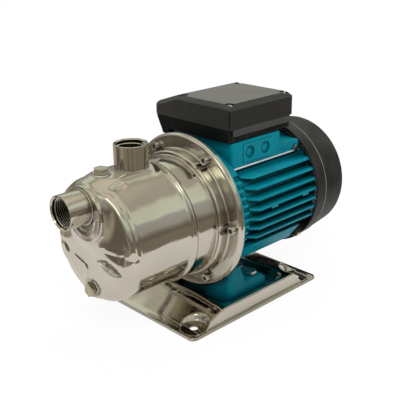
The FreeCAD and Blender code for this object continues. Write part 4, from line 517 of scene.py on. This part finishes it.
def reliefHeight(y, z):  # how far the lobe, bumps and almond dimple stand ahead of the plain front
    height = np.zeros(len(y))
    for centreY, centreZ, wide, high, turn, rise in casing["bumps"]:
        along, across = turnedPlace(y, z, (centreY, centreZ), turn)
        height = height + rise * easeIn(0, 1, 1 - (along / wide) ** 2 - (across / high) ** 2)
    edgeY, edgeZ = zip(*casing["lobeEdge"])
    below = np.interp(y, edgeY, edgeZ, left=casing["lobeOff"], right=casing["lobeOff"]) - z
    lobe = np.where(below < 0, 1 + below / casing["lobeAbove"], 1 - below / casing["lobeBelow"])
    lobe = np.clip(lobe, 0, 1)
    lobe = lobe * lobe * (2 - lobe) * easeIn(*casing["lobeSide"], -y) * easeIn(*casing["lobeFoot"], z)
    almond = casing["almond"]
    along, across = turnedPlace(y, z, almond["centre"], almond["turn"])
    wide = almond["wide"] * np.clip(1 - (along / almond["half"]) ** 2, 0.0001, 1)  # never zero
    dip = np.clip(1 - np.abs(across) / wide, 0, 1)
    dip = np.where(np.abs(along) < almond["half"], np.sqrt(dip) * wide / almond["wide"], 0)
    return height + casing["lobeHigh"] * lobe - almond["deep"] * dip


def arc(centre, radius, start, end, steps):  # points of an arc, angles in degrees
    turns = [math.radians(start + (end - start) * i / steps) for i in range(steps + 1)]
    return [(centre[0] + radius * math.cos(a), centre[1] + radius * math.sin(a)) for a in turns]


def straight(start, end, steps):  # points from start to end, without the start
    return [tuple(a + (b - a) * i / steps for a, b in zip(start, end)) for i in range(1, steps + 1)]


def frontProfile():  # (x, r) from the front's centre to the drum
    flat, turnX = casing["flat"], casing["front"] + casing["knuckle"]
    points = []
    for i in range(1, casing["frontSteps"] + 1):
        r = flat * i / casing["frontSteps"]
        points.append((casing["front"] - casing["rise"] * (1 - (r / flat) ** 2), r))
    points += arc((turnX, flat), casing["knuckle"], 180, 90, casing["knuckleSteps"])[1:]
    points += straight((turnX, casing["drum"]), (casing["beadX"] - casing["beadReach"], casing["drum"]),
                       casing["drumSteps"])
    return points


def rearProfile():  # (x, r) from the bead over the flange to the inside
    low, high, reach, sheet = casing["drum"], casing["neck"], casing["beadReach"], casing["sheet"]
    points = []
    for along in np.linspace(-reach, reach, casing["beadSteps"] + 1)[1:]:  # swelled bead from drum to neck
        swell = math.exp(-(along / casing["beadWide"]) ** 2) * casing["beadHigh"]
        climb = 1 / (1 + math.exp(-along / casing["beadClimb"]))
        points.append((casing["beadX"] + along, low + (high - low) * climb + swell))
    stepX, bend, top, soft = casing["stepX"], casing["bend"], casing["step"], casing["stepRound"]
    # the last number of each stretch is its steps
    points += straight((casing["beadX"] + reach, high), (stepX - bend, high), 8)
    points += arc((stepX - bend, high + bend), bend, -90, 0, 5)[1:]
    points += arc((stepX + soft, top - soft), soft, 180, 90, 8)
    flangeX, rim, outer = casing["flangeX"], casing["rim"], casing["flange"] - casing["rim"]
    points += straight((stepX + soft, top), (flangeX - soft, top), 6)
    points += arc((flangeX - soft, top + soft), soft, -90, 0, 7)[1:]
    points += straight((flangeX, top + soft), (flangeX, outer), 6)
    points += arc((flangeX + rim, outer), rim, 180, 90, 9)[1:]
    back = flangeX + rim + casing["lip"]
    points += [(back, casing["flange"]), (back, casing["flange"] - sheet), (flangeX + sheet, outer),
               (flangeX + sheet, top - sheet), (stepX + sheet, top - sheet),
               (stepX + sheet, high - casing["wall"]), (casing["beadX"], casing["innerDrum"]),
               (casing["front"] + casing["knuckle"], casing["innerDrum"])]
    return points


def spinProfile(points, around):
    shape = bmesh.new()  # full turn of (x, r) points in mm about the shaft
    line = [shape.verts.new((x * mm, 0, r * mm)) for x, r in points]
    for a, b in zip(line, line[1:]):
        shape.edges.new((a, b))
    bmesh.ops.spin(shape, geom=shape.verts[:] + shape.edges[:], cent=(0, 0, 0), axis=(1, 0, 0),
                   dvec=(0, 0, 0), angle=2 * math.pi, steps=around, use_merge=True, use_duplicate=False)
    bmesh.ops.remove_doubles(shape, verts=shape.verts, dist=casing["mergeWithin"] * mm)
    return shape


def pressDetails(spots):  # flat seats for the two plugs, and the shoulder's dimple, double line and notch
    x, y, z = spots[:, 0], spots[:, 1], spots[:, 2]
    seat = casing["drainSeat"]
    away = np.hypot(y, z - seat["z"])
    share = easeIn(-seat["flat"] - seat["blend"], -seat["flat"], -away) * easeIn(*seat["ahead"], -x)
    x += (seat["x"] - x) * share
    seat = casing["fillerSeat"]
    away = np.hypot(x - seat["x"], y)
    share = easeIn(-seat["flat"] - seat["blend"], -seat["flat"], -away) * easeIn(*seat["above"], z)
    z += (seat["z"] - z) * share
    radius = np.hypot(y, z)
    turn = np.arctan2(z, -y)
    dimple = casing["dimple"]
    along = (x - dimple["x"]) / dimple["halfLong"]
    across = (turn - math.radians(dimple["turn"])) * radius / dimple["halfWide"]
    rise = -dimple["deep"] * easeIn(0, 1, 1 - along ** 2 - across ** 2)
    degrees = np.degrees(turn)
    ribbon = easeInOut(casing["foldTurn"], degrees) * easeIn(*casing["foldAway"], radius)
    for place, half, height in casing["fold"]:  # fine double line behind the knuckle
        rise = rise + height * ribbon * np.exp(-((x - place) / half) ** 2)
    notch = casing["notch"]
    (startX, endX), (startTurn, endTurn) = notch["x"], notch["turn"]
    long = np.array((endX - startX, math.radians(endTurn - startTurn) * notch["radius"]))
    apart = np.stack((x - startX, np.radians(degrees - startTurn) * notch["radius"]), axis=1)
    share = np.clip(apart @ long / (long @ long), 0, 1)
    off = np.linalg.norm(apart - share[:, None] * long, axis=1) / notch["halfWide"]
    rise = rise - notch["deep"] * np.exp(-off ** 2) * easeIn(*notch["away"], radius)
    spots[:, 1:] *= (1 + rise / np.maximum(radius, 1))[:, None]


def pressCasing(shape):  # moves the front part of the skin onto the pressed form
    picked = [v for v in shape.verts if v.co.x < casing["pressEnd"] * mm and v.tag]
    spots = np.array([v.co for v in picked]) / mm
    hub = np.zeros(spots.shape)
    hub[:, 0] = np.maximum(spots[:, 0], casing["turnX"])
    rays = spots - hub
    length = np.linalg.norm(rays, axis=1)
    rays = rays / length[:, None]
    near, far = length - casing["searchIn"], length + casing["searchOut"]
    for _ in range(casing["halvings"]):
        middle = (near + far) / 2
        inside = casingField(hub + rays * middle[:, None]) < 0
        near = np.where(inside, middle, near)
        far = np.where(inside, far, middle)
    spots = hub + rays * ((near + far) / 2)[:, None]
    spots[:, 0] -= reliefHeight(spots[:, 1], spots[:, 2]) * easeIn(*casing["reliefAhead"], -spots[:, 0])
    pressDetails(spots)
    for v, spot in zip(picked, spots):
        v.co = Vector(spot * mm)


def dentForScrews(shape):
    first, last = casing["dentX"]
    for v in shape.verts:
        away = math.hypot(v.co.y, v.co.z) / mm
        if not first * mm < v.co.x < last * mm or away < casing["dentAbove"]:
            continue
        for i in range(casing["screws"]):
            turn = math.radians(360 * i / casing["screws"])
            y, z = casing["screwCircle"] * math.cos(turn), casing["screwCircle"] * math.sin(turn)
            apart = math.hypot(v.co.y / mm - y, v.co.z / mm - z)
            if apart < casing["dent"]:
                pull = (away - (casing["dent"] - apart)) / away
                v.co.y *= pull
                v.co.z *= pull


def openPorts(shape):
    bore = casing["portBore"] * mm
    suctionZ, dischargeX = casing["suctionZ"] * mm, casing["dischargeX"] * mm
    for v in shape.verts:
        if v.co.x < casing["suctionAhead"] * mm and math.hypot(v.co.y, v.co.z - suctionZ) < bore:
            v.co.x += casing["portDeep"] * mm  # the suction's waterway goes in
    above = casing["dischargeAbove"] * mm
    inPort = [v for v in shape.verts if v.co.z > above and math.hypot(v.co.x - dischargeX, v.co.y) < bore]
    bmesh.ops.delete(shape, geom=inPort, context="VERTS")  # the discharge opens through the wall
    bmesh.ops.bridge_loops(shape, edges=[e for e in shape.edges if e.is_boundary])


def buildCasing():
    shape = spinProfile(frontProfile() + rearProfile(), casing["around"])
    inner = (casing["innerDrum"] + casing["slack"]) * mm
    behind = (casing["front"] + casing["knuckle"] - casing["slack"]) * mm
    for v in shape.verts:  # the wall's inside stays as it is
        v.tag = not (math.hypot(v.co.y, v.co.z) < inner and v.co.x > behind)
    pressCasing(shape)
    dentForScrews(shape)
    rim = [e for e in shape.edges if e.is_boundary]
    bmesh.ops.holes_fill(shape, edges=rim, sides=0)
    openPorts(shape)
    bmesh.ops.translate(shape, verts=shape.verts, vec=(0, 0, shaftHeight * mm))
    bmesh.ops.recalc_face_normals(shape, faces=shape.faces)
    piece = addPiece("casingSkin", shape, "stainless", "stand", 50)
    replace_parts(piece, "pump_casing")
    print("casing skin pressed:", len(piece.data.polygons), "faces")


buildCasing()


# suction boss: the crisp raised disc round the suction port
boss = {"z": 35.5, "radius": 32.0, "front": -186.0, "round": 1.8, "root": -176.0, "around": 160,
        "face": [(1.6, 15), (1.6, 17), (0.4, 18.4), (0, 19.5), (0.15, 24), (0.1, 28)]}  # depth and radius
turned = {"edgeRing": 2.0,  # one more ring of faces this far behind a rounded edge keeps its shading short
          "closeWithin": 0.01, "mergeWithin": 0.001}


def turnPoints(points, around, origin, axis):
    shape = bmesh.new()  # full turn of (along, out) points in mm about an axis through origin
    axis = Vector(axis)
    out = Vector((0, 0, 1)) if abs(axis.z) < 0.5 else Vector((1, 0, 0))
    spots = [(Vector(origin) + axis * along + out * away) * mm for along, away in points]
    line = [shape.verts.new(spot) for spot in spots]
    for a, b in zip(line, line[1:]):
        shape.edges.new((a, b))
    ringed = points[0][1] > 0 and points[-1][1] > 0  # neither end lies on the axis
    if ringed and (spots[0] - spots[-1]).length > turned["closeWithin"] * mm:
        shape.edges.new((line[-1], line[0]))
    bmesh.ops.spin(shape, geom=shape.verts[:] + shape.edges[:], cent=Vector(origin) * mm, axis=axis,
                   dvec=(0, 0, 0), angle=2 * math.pi, steps=around, use_merge=True, use_duplicate=False)
    bmesh.ops.remove_doubles(shape, verts=shape.verts, dist=turned["mergeWithin"] * mm)
    bmesh.ops.recalc_face_normals(shape, faces=shape.faces)
    return shape


def buildBoss():
    soft, wide = boss["round"], boss["radius"]
    long = boss["root"] - boss["front"]
    points = [(long, boss["face"][0][1])] + boss["face"] + arc((soft, wide - soft), soft, 180, 90, 6)
    points += [(soft + turned["edgeRing"], wide), (long, wide)]
    shape = turnPoints(points, boss["around"], (boss["front"], 0, shaftHeight + boss["z"]), (1, 0, 0))
    piece = addPiece("suctionBoss", shape, "stainless", "stand")
    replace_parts(piece, "pump_casing")


buildBoss()
print("boss built")


# threaded ports: turned tubes with a helical thread inside and a weld bead at the root
ports = {
    "suction": {"node": "suction_port", "mouth": (-212.3, 0, 159.0), "axis": (1, 0, 0),
                "long": 48.8, "weldAt": 26.3, "finish": "stainless_deep_shade"},
    "discharge": {"node": "discharge_port", "mouth": (-117.6, 0, 213.5), "axis": (0, 0, -1),
                  "long": 35.2, "weldAt": 27.2, "finish": "stainless_less_shade"},
}
tube = {"outer": 19.0, "round": 0.5, "lead": 17.8, "leadLong": 1.3, "root": 16.75, "bore": 13.0,
        "around": 128}
thread = {"from": 2.6, "to": 17.5, "spare": 1.0, "pitch": 2.309, "turnSteps": 64,
          "ridge": [(0.0, 16.85), (0.75, 15.75), (1.2, 15.75), (1.95, 16.85)]}  # along and radius
weld = {"radius": 1.0, "sides": 12, "lift": 0.2, "around": 296, "ripples": 74, "ripple": 0.16,
        "lump": 0.3, "lumpScale": 160, "swell": 0.6}


def buildThread(name, port):
    shape = bmesh.new()  # one closed ridge swept along the helix
    axis, mouth = Vector(port["axis"]), Vector(port["mouth"])
    out = Vector((0, 0, 1)) if abs(axis.z) < 0.5 else Vector((1, 0, 0))
    line = [shape.verts.new((mouth + axis * (thread["from"] + along) + out * away) * mm)
            for along, away in thread["ridge"]]
    loop = [shape.edges.new(pair) for pair in zip(line, line[1:] + line[:1])]
    turns = int((thread["to"] - thread["from"] - thread["spare"]) / thread["pitch"])
    steps = thread["turnSteps"]
    climb = axis * thread["pitch"] * mm / steps
    bmesh.ops.spin(shape, geom=line + loop, cent=mouth * mm, axis=axis, dvec=climb,
                   angle=2 * math.pi * turns, steps=steps * turns, use_merge=False, use_duplicate=False)
    ends = [e for e in shape.edges if e.is_boundary or e.is_wire]
    bmesh.ops.holes_fill(shape, edges=ends, sides=4)
    bmesh.ops.recalc_face_normals(shape, faces=shape.faces)
    piece = addPiece(name + "Thread", shape, "stainless", "stand", 30, port["finish"])
    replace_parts(piece, port["node"])


def buildWeld(name, port):
    lifted = tube["outer"] + weld["lift"]
    section = arc((port["weldAt"], lifted), weld["radius"], 0, 360, weld["sides"])[:-1]
    bead = turnPoints(section, weld["around"], port["mouth"], port["axis"])
    axis = Vector(port["axis"])
    middle = Vector(port["mouth"]) * mm
    for v in bead.verts:
        away = v.co - middle
        along = away.dot(axis)
        across = away - axis * along
        turn = math.atan2(across.dot(axis.orthogonal().cross(axis)), across.dot(axis.orthogonal()))
        swell = weld["ripple"] * math.cos(turn * weld["ripples"])
        swell += weld["lump"] * noise.noise(v.co * weld["lumpScale"])
        core = across.normalized() * lifted * mm + axis * port["weldAt"] * mm
        offset = across + axis * along - core
        v.co = middle + core + offset * (1 + swell * weld["swell"])
    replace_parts(addPiece(name + "Weld", bead, "stainless", "stand", 60), port["node"])


def buildPort(name, port):
    wide, soft = tube["outer"], tube["round"]
    points = [(port["long"], tube["bore"]), (port["long"], wide), (port["weldAt"] + weld["radius"], wide),
              (soft + turned["edgeRing"], wide)]
    points += arc((soft, wide - soft), soft, 90, 180, 4)
    points += [(0.0, tube["lead"]), (tube["leadLong"], tube["root"]), (thread["to"], tube["root"]),
               (thread["to"], tube["bore"])]
    shape = turnPoints(points, tube["around"], port["mouth"], port["axis"])
    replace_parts(addPiece(name + "Tube", shape, "stainless", "stand", 35, port["finish"]), port["node"])
    buildWeld(name, port)
    buildThread(name, port)


for portName, port in ports.items():
    buildPort(portName, port)
print("ports built")


# lid screws, tray band, deck strip with a painted highlight, knockout rings in painted shade and cover crease
# with a painted highlight; z from the shaft
trim = {"screwX": (-11.5, 80.5), "screwY": (-45.0, 28.0), "screwAround": 48, "shank": 2.0, "shankEnd": 96.0,
        "screwSeat": 125.0, "screwHead": 4.2, "headEdge": 0.6, "screwDome": 3.24, "domeSteps": 8,
        "band": (-13.0, 86.0, -51.9, 93.5, 101.6), "bandThick": 1.6, "bandLean": -9.0,
        "strip": (-12.0, 106.0, -50.5, 53.2, 55.0), "stripThick": 1.4, "barRound": 0.35,
        "knockoutX": (17.0, 44.0), "knockoutY": -48.9, "knockoutZ": 70.0, "knockoutShadeRing": 4.9,
        "ringHigh": 0.6, "ringAround": 48, "ringSides": 10,
        "creaseX": 128.8, "creaseRadius": 79.9, "creaseHigh": 0.65, "creaseAround": 180}


def buildLidScrews():
    head, seat = trim["screwHead"], trim["screwSeat"]
    points = [(trim["shankEnd"], 0), (trim["shankEnd"], trim["shank"]), (seat, trim["shank"]), (seat, head)]
    seat += trim["headEdge"]
    for i in range(trim["domeSteps"]):
        turn = math.radians(90 * i / trim["domeSteps"])
        points.append((seat + trim["screwDome"] * math.sin(turn), head * math.cos(turn)))
    points.append((seat + trim["screwDome"], 0))
    for i, x in enumerate(trim["screwX"]):
        for j, y in enumerate(trim["screwY"]):
            shape = turnPoints(points, trim["screwAround"], (x, y, shaftHeight), (0, 0, 1))
            name = "lidScrew" + str(i * 2 + j + 1)
            screw = addPiece(name, shape, slotOf["lid_screws"], "stand", finish="bright_zinc")
            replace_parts(screw, "lid_screws")


def addBar(name, ends, thick, node, finish, lean=0.0):
    low, high, y, bottom, top = ends
    shape = bmesh.new()
    bmesh.ops.create_cube(shape, size=1)
    bmesh.ops.scale(shape, verts=shape.verts, vec=((high - low) * mm, thick * mm, (top - bottom) * mm))
    bmesh.ops.bevel(shape, geom=shape.edges[:], offset=trim["barRound"] * mm, offset_type="OFFSET",
                    affect="EDGES", segments=2, profile=0.5, clamp_overlap=True, material=-1)
    leaning = Matrix.Rotation(math.radians(lean), 3, "X")
    bmesh.ops.rotate(shape, verts=shape.verts, cent=(0, 0, 0), matrix=leaning)
    middle = ((low + high) / 2 * mm, y * mm, (shaftHeight + (bottom + top) / 2) * mm)
    bmesh.ops.translate(shape, verts=shape.verts, vec=middle)
    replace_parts(addPiece(name, shape, slotOf[node], bodyOf[node], finish=finish), node)


def buildTrim():
    buildLidScrews()
    addBar("trayBand", trim["band"], trim["bandThick"], "terminal_tray", "grey_band", trim["bandLean"])
    # a bright strip along the deck's lower edge: bare metal, and partly a painted highlight
    addBar("deckBareAndHighlightStrip", trim["strip"], trim["stripThick"], "motor_housing", "bright_zinc")
    # dark rings round the knockouts, in teal with painted shade
    for i, x in enumerate(trim["knockoutX"]):
        place = (x, trim["knockoutY"], shaftHeight + trim["knockoutZ"])
        section = arc((0, trim["knockoutShadeRing"]), trim["ringHigh"], 0, 360, trim["ringSides"])[:-1]
        shape = turnPoints(section, trim["ringAround"], place, (0, -1, 0))
        name = "knockoutShadeRing" + str(i + 1)
        ring = addPiece(name, shape, slotOf["motor_housing"], "stand", finish="teal_painted_shade")
        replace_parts(ring, "motor_housing")
    # the bead on the fan cover's crease carries a painted highlight
    section = arc((trim["creaseX"], trim["creaseRadius"]), trim["creaseHigh"], 0, 360, trim["ringSides"])[:-1]
    shape = turnPoints(section, trim["creaseAround"], (0, 0, shaftHeight), (1, 0, 0))
    crease = addPiece("coverCrease", shape, slotOf["fan_cover"], "stand", finish="cover_crease_highlight")
    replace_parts(crease, "fan_cover")


buildTrim()
print("trim built")


# base plate: one pressed sheet as a height form over a grid; lengths in mm
base = {"halfLong": 111.3, "halfWide": 85.3, "corner": 8.0, "sheet": 1.9, "footLong": 105.3, "footHalf": 80.8,
        "top": 17.0, "ridgeFront": -56.0, "ridgeRear": 88.0, "ridgeHalf": 77.0, "slopeFoot": 1.0,
        "slopeBlend": 1.5, "topBlend": 2.5, "rim": 2.0, "rimBlend": 1.2,
        "wellFront": -46.0, "wellRear": 61.0, "wellHalf": 69.0, "wellFloor": 8.0, "wellCorner": 12.0,
        "wellSlope": 3.2, "wellFoot": 1.2, "wellBlend": 2.0, "wellEdge": 2.2,
        "boltX": 91.0, "boltY": 65.0, "bolt": 5.0, "seat": 15.5, "seatSlope": 3.0, "seatBlend": 1.0,
        "seatEdge": 3.0, "beadIn": 1.1, "beadWide": 0.75, "beadHigh": 1.0, "edgeDrop": 1.5, "edgeSoft": 0.35,
        "cells": (200, 190),
        # grid lines lie closer where the sheet bends: share of the lines and length they reach
        "alongX": [(0, 0), (0.33, 44), (0.47, 62), (0.60, 75), (0.95, 107), (1, 111.3)],
        "alongY": [(0, 0), (0.42, 62), (0.60, 73), (0.66, 76), (0.84, 81), (1, 85.3)]}


def softLeast(first, second, reach):
    share = max(0.0, min(1.0, 0.5 + 0.5 * (second - first) / reach))
    return second * (1 - share) + first * share - reach * share * (1 - share)


def softMost(first, second, reach):
    return -softLeast(-first, -second, reach)


def fromBolt(x, y):
    return math.hypot(abs(x) - base["boltX"], abs(y) - base["boltY"])


def slopeHeight(inward, long):  # height over a slope that is this long, this far in from its foot
    return base["slopeFoot"] + (base["top"] - base["slopeFoot"]) * inward / long


def baseHeight(x, y):
    far = abs(y)
    side = slopeHeight(base["footHalf"] - far, base["footHalf"] - base["ridgeHalf"])
    front = slopeHeight(x + base["footLong"], base["footLong"] + base["ridgeFront"])
    rear = slopeHeight(base["footLong"] - x, base["footLong"] - base["ridgeRear"])
    height = softLeast(side, softLeast(front, rear, base["slopeBlend"]), base["topBlend"])
    height = softMost(softLeast(base["top"], height, base["topBlend"]), base["rim"], base["rimBlend"])
    middle = (base["wellFront"] + base["wellRear"]) / 2
    soft = base["wellCorner"]
    overX = abs(x - middle) - (base["wellRear"] - base["wellFront"]) / 2 + soft
    overY = far - base["wellHalf"] + soft
    outside = math.hypot(max(overX, 0), max(overY, 0)) + min(max(overX, overY), 0) - soft
    well = base["wellFloor"] + max(0.0, outside + base["wellFoot"]) * base["wellSlope"]
    well = softMost(well, base["wellFloor"], base["wellBlend"])
    height = softLeast(height, well, base["wellEdge"])
    seat = base["rim"] + max(0.0, fromBolt(x, y) - base["seat"]) * base["seatSlope"]
    return softLeast(height, softMost(seat, base["rim"], base["seatBlend"]), base["seatEdge"])


def spread(share, stops):  # share 0 to 1 goes to a length through (share, length) stops
    for (before, low), (after, high) in zip(stops, stops[1:]):
        if share <= after:
            return low + (high - low) * (share - before) / (after - before)
    return stops[-1][1]


def openBoltHoles(shape):
    gone = [f for f in shape.faces if fromBolt(*f.calc_center_median().xy) < base["bolt"]]
    bmesh.ops.delete(shape, geom=gone, context="FACES")
    for v in shape.verts:
        away = Vector((abs(v.co.x) - base["boltX"], abs(v.co.y) - base["boltY"]))
        if v.is_boundary and away.length < 2 * base["bolt"]:
            away = away.normalized() * base["bolt"]
            v.co.x = math.copysign(base["boltX"] + away.x, v.co.x)
            v.co.y = math.copysign(base["boltY"] + away.y, v.co.y)


def buildBase():
    shape = bmesh.new()
    bmesh.ops.create_grid(shape, x_segments=base["cells"][0], y_segments=base["cells"][1], size=1)
    for v in shape.verts:
        x = math.copysign(spread(min(1, abs(v.co.x)), base["alongX"]), v.co.x)
        y = math.copysign(spread(min(1, abs(v.co.y)), base["alongY"]), v.co.y)
        v.co = Vector((x, y, 0))
    openBoltHoles(shape)
    grown = bmesh.ops.extrude_face_region(shape, geom=shape.faces[:], use_keep_orig=True)
    upper = {item for item in grown["geom"] if isinstance(item, bmesh.types.BMVert)}
    soft = base["corner"]
    limitX, limitY = base["halfLong"] - soft, base["halfWide"] - soft
    for v in shape.verts:
        outX, outY = (abs(v.co.x) - limitX) / soft, (abs(v.co.y) - limitY) / soft
        if outX > 0 and outY > 0:  # the grid's square corner becomes a round one
            v.co.x = math.copysign(limitX + soft * outX * math.sqrt(1 - outY * outY / 2), v.co.x)
            v.co.y = math.copysign(limitY + soft * outY * math.sqrt(1 - outX * outX / 2), v.co.y)
            outX, outY = (abs(v.co.x) - limitX) / soft, (abs(v.co.y) - limitY) / soft
            edge = soft * (1 - math.hypot(outX, outY))
        else:
            edge = min(base["halfLong"] - abs(v.co.x), base["halfWide"] - abs(v.co.y))
        height = baseHeight(v.co.x, v.co.y)
        bead = base["beadHigh"] * math.exp(-((edge - base["beadIn"]) / base["beadWide"]) ** 2)
        drop = base["edgeDrop"] * math.exp(-edge / base["edgeSoft"])
        if v in upper:
            v.co.z = height + bead - drop
        else:
            v.co.z = max(0.0, height - base["sheet"])
    bmesh.ops.scale(shape, verts=shape.verts, vec=(mm, mm, mm))
    bmesh.ops.recalc_face_normals(shape, faces=shape.faces)
    piece = addPiece("basePressing", shape, "stainless", "stand", 55)
    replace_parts(piece, "base_plate")
    print("base plate pressed:", len(piece.data.polygons), "faces")


buildBase()
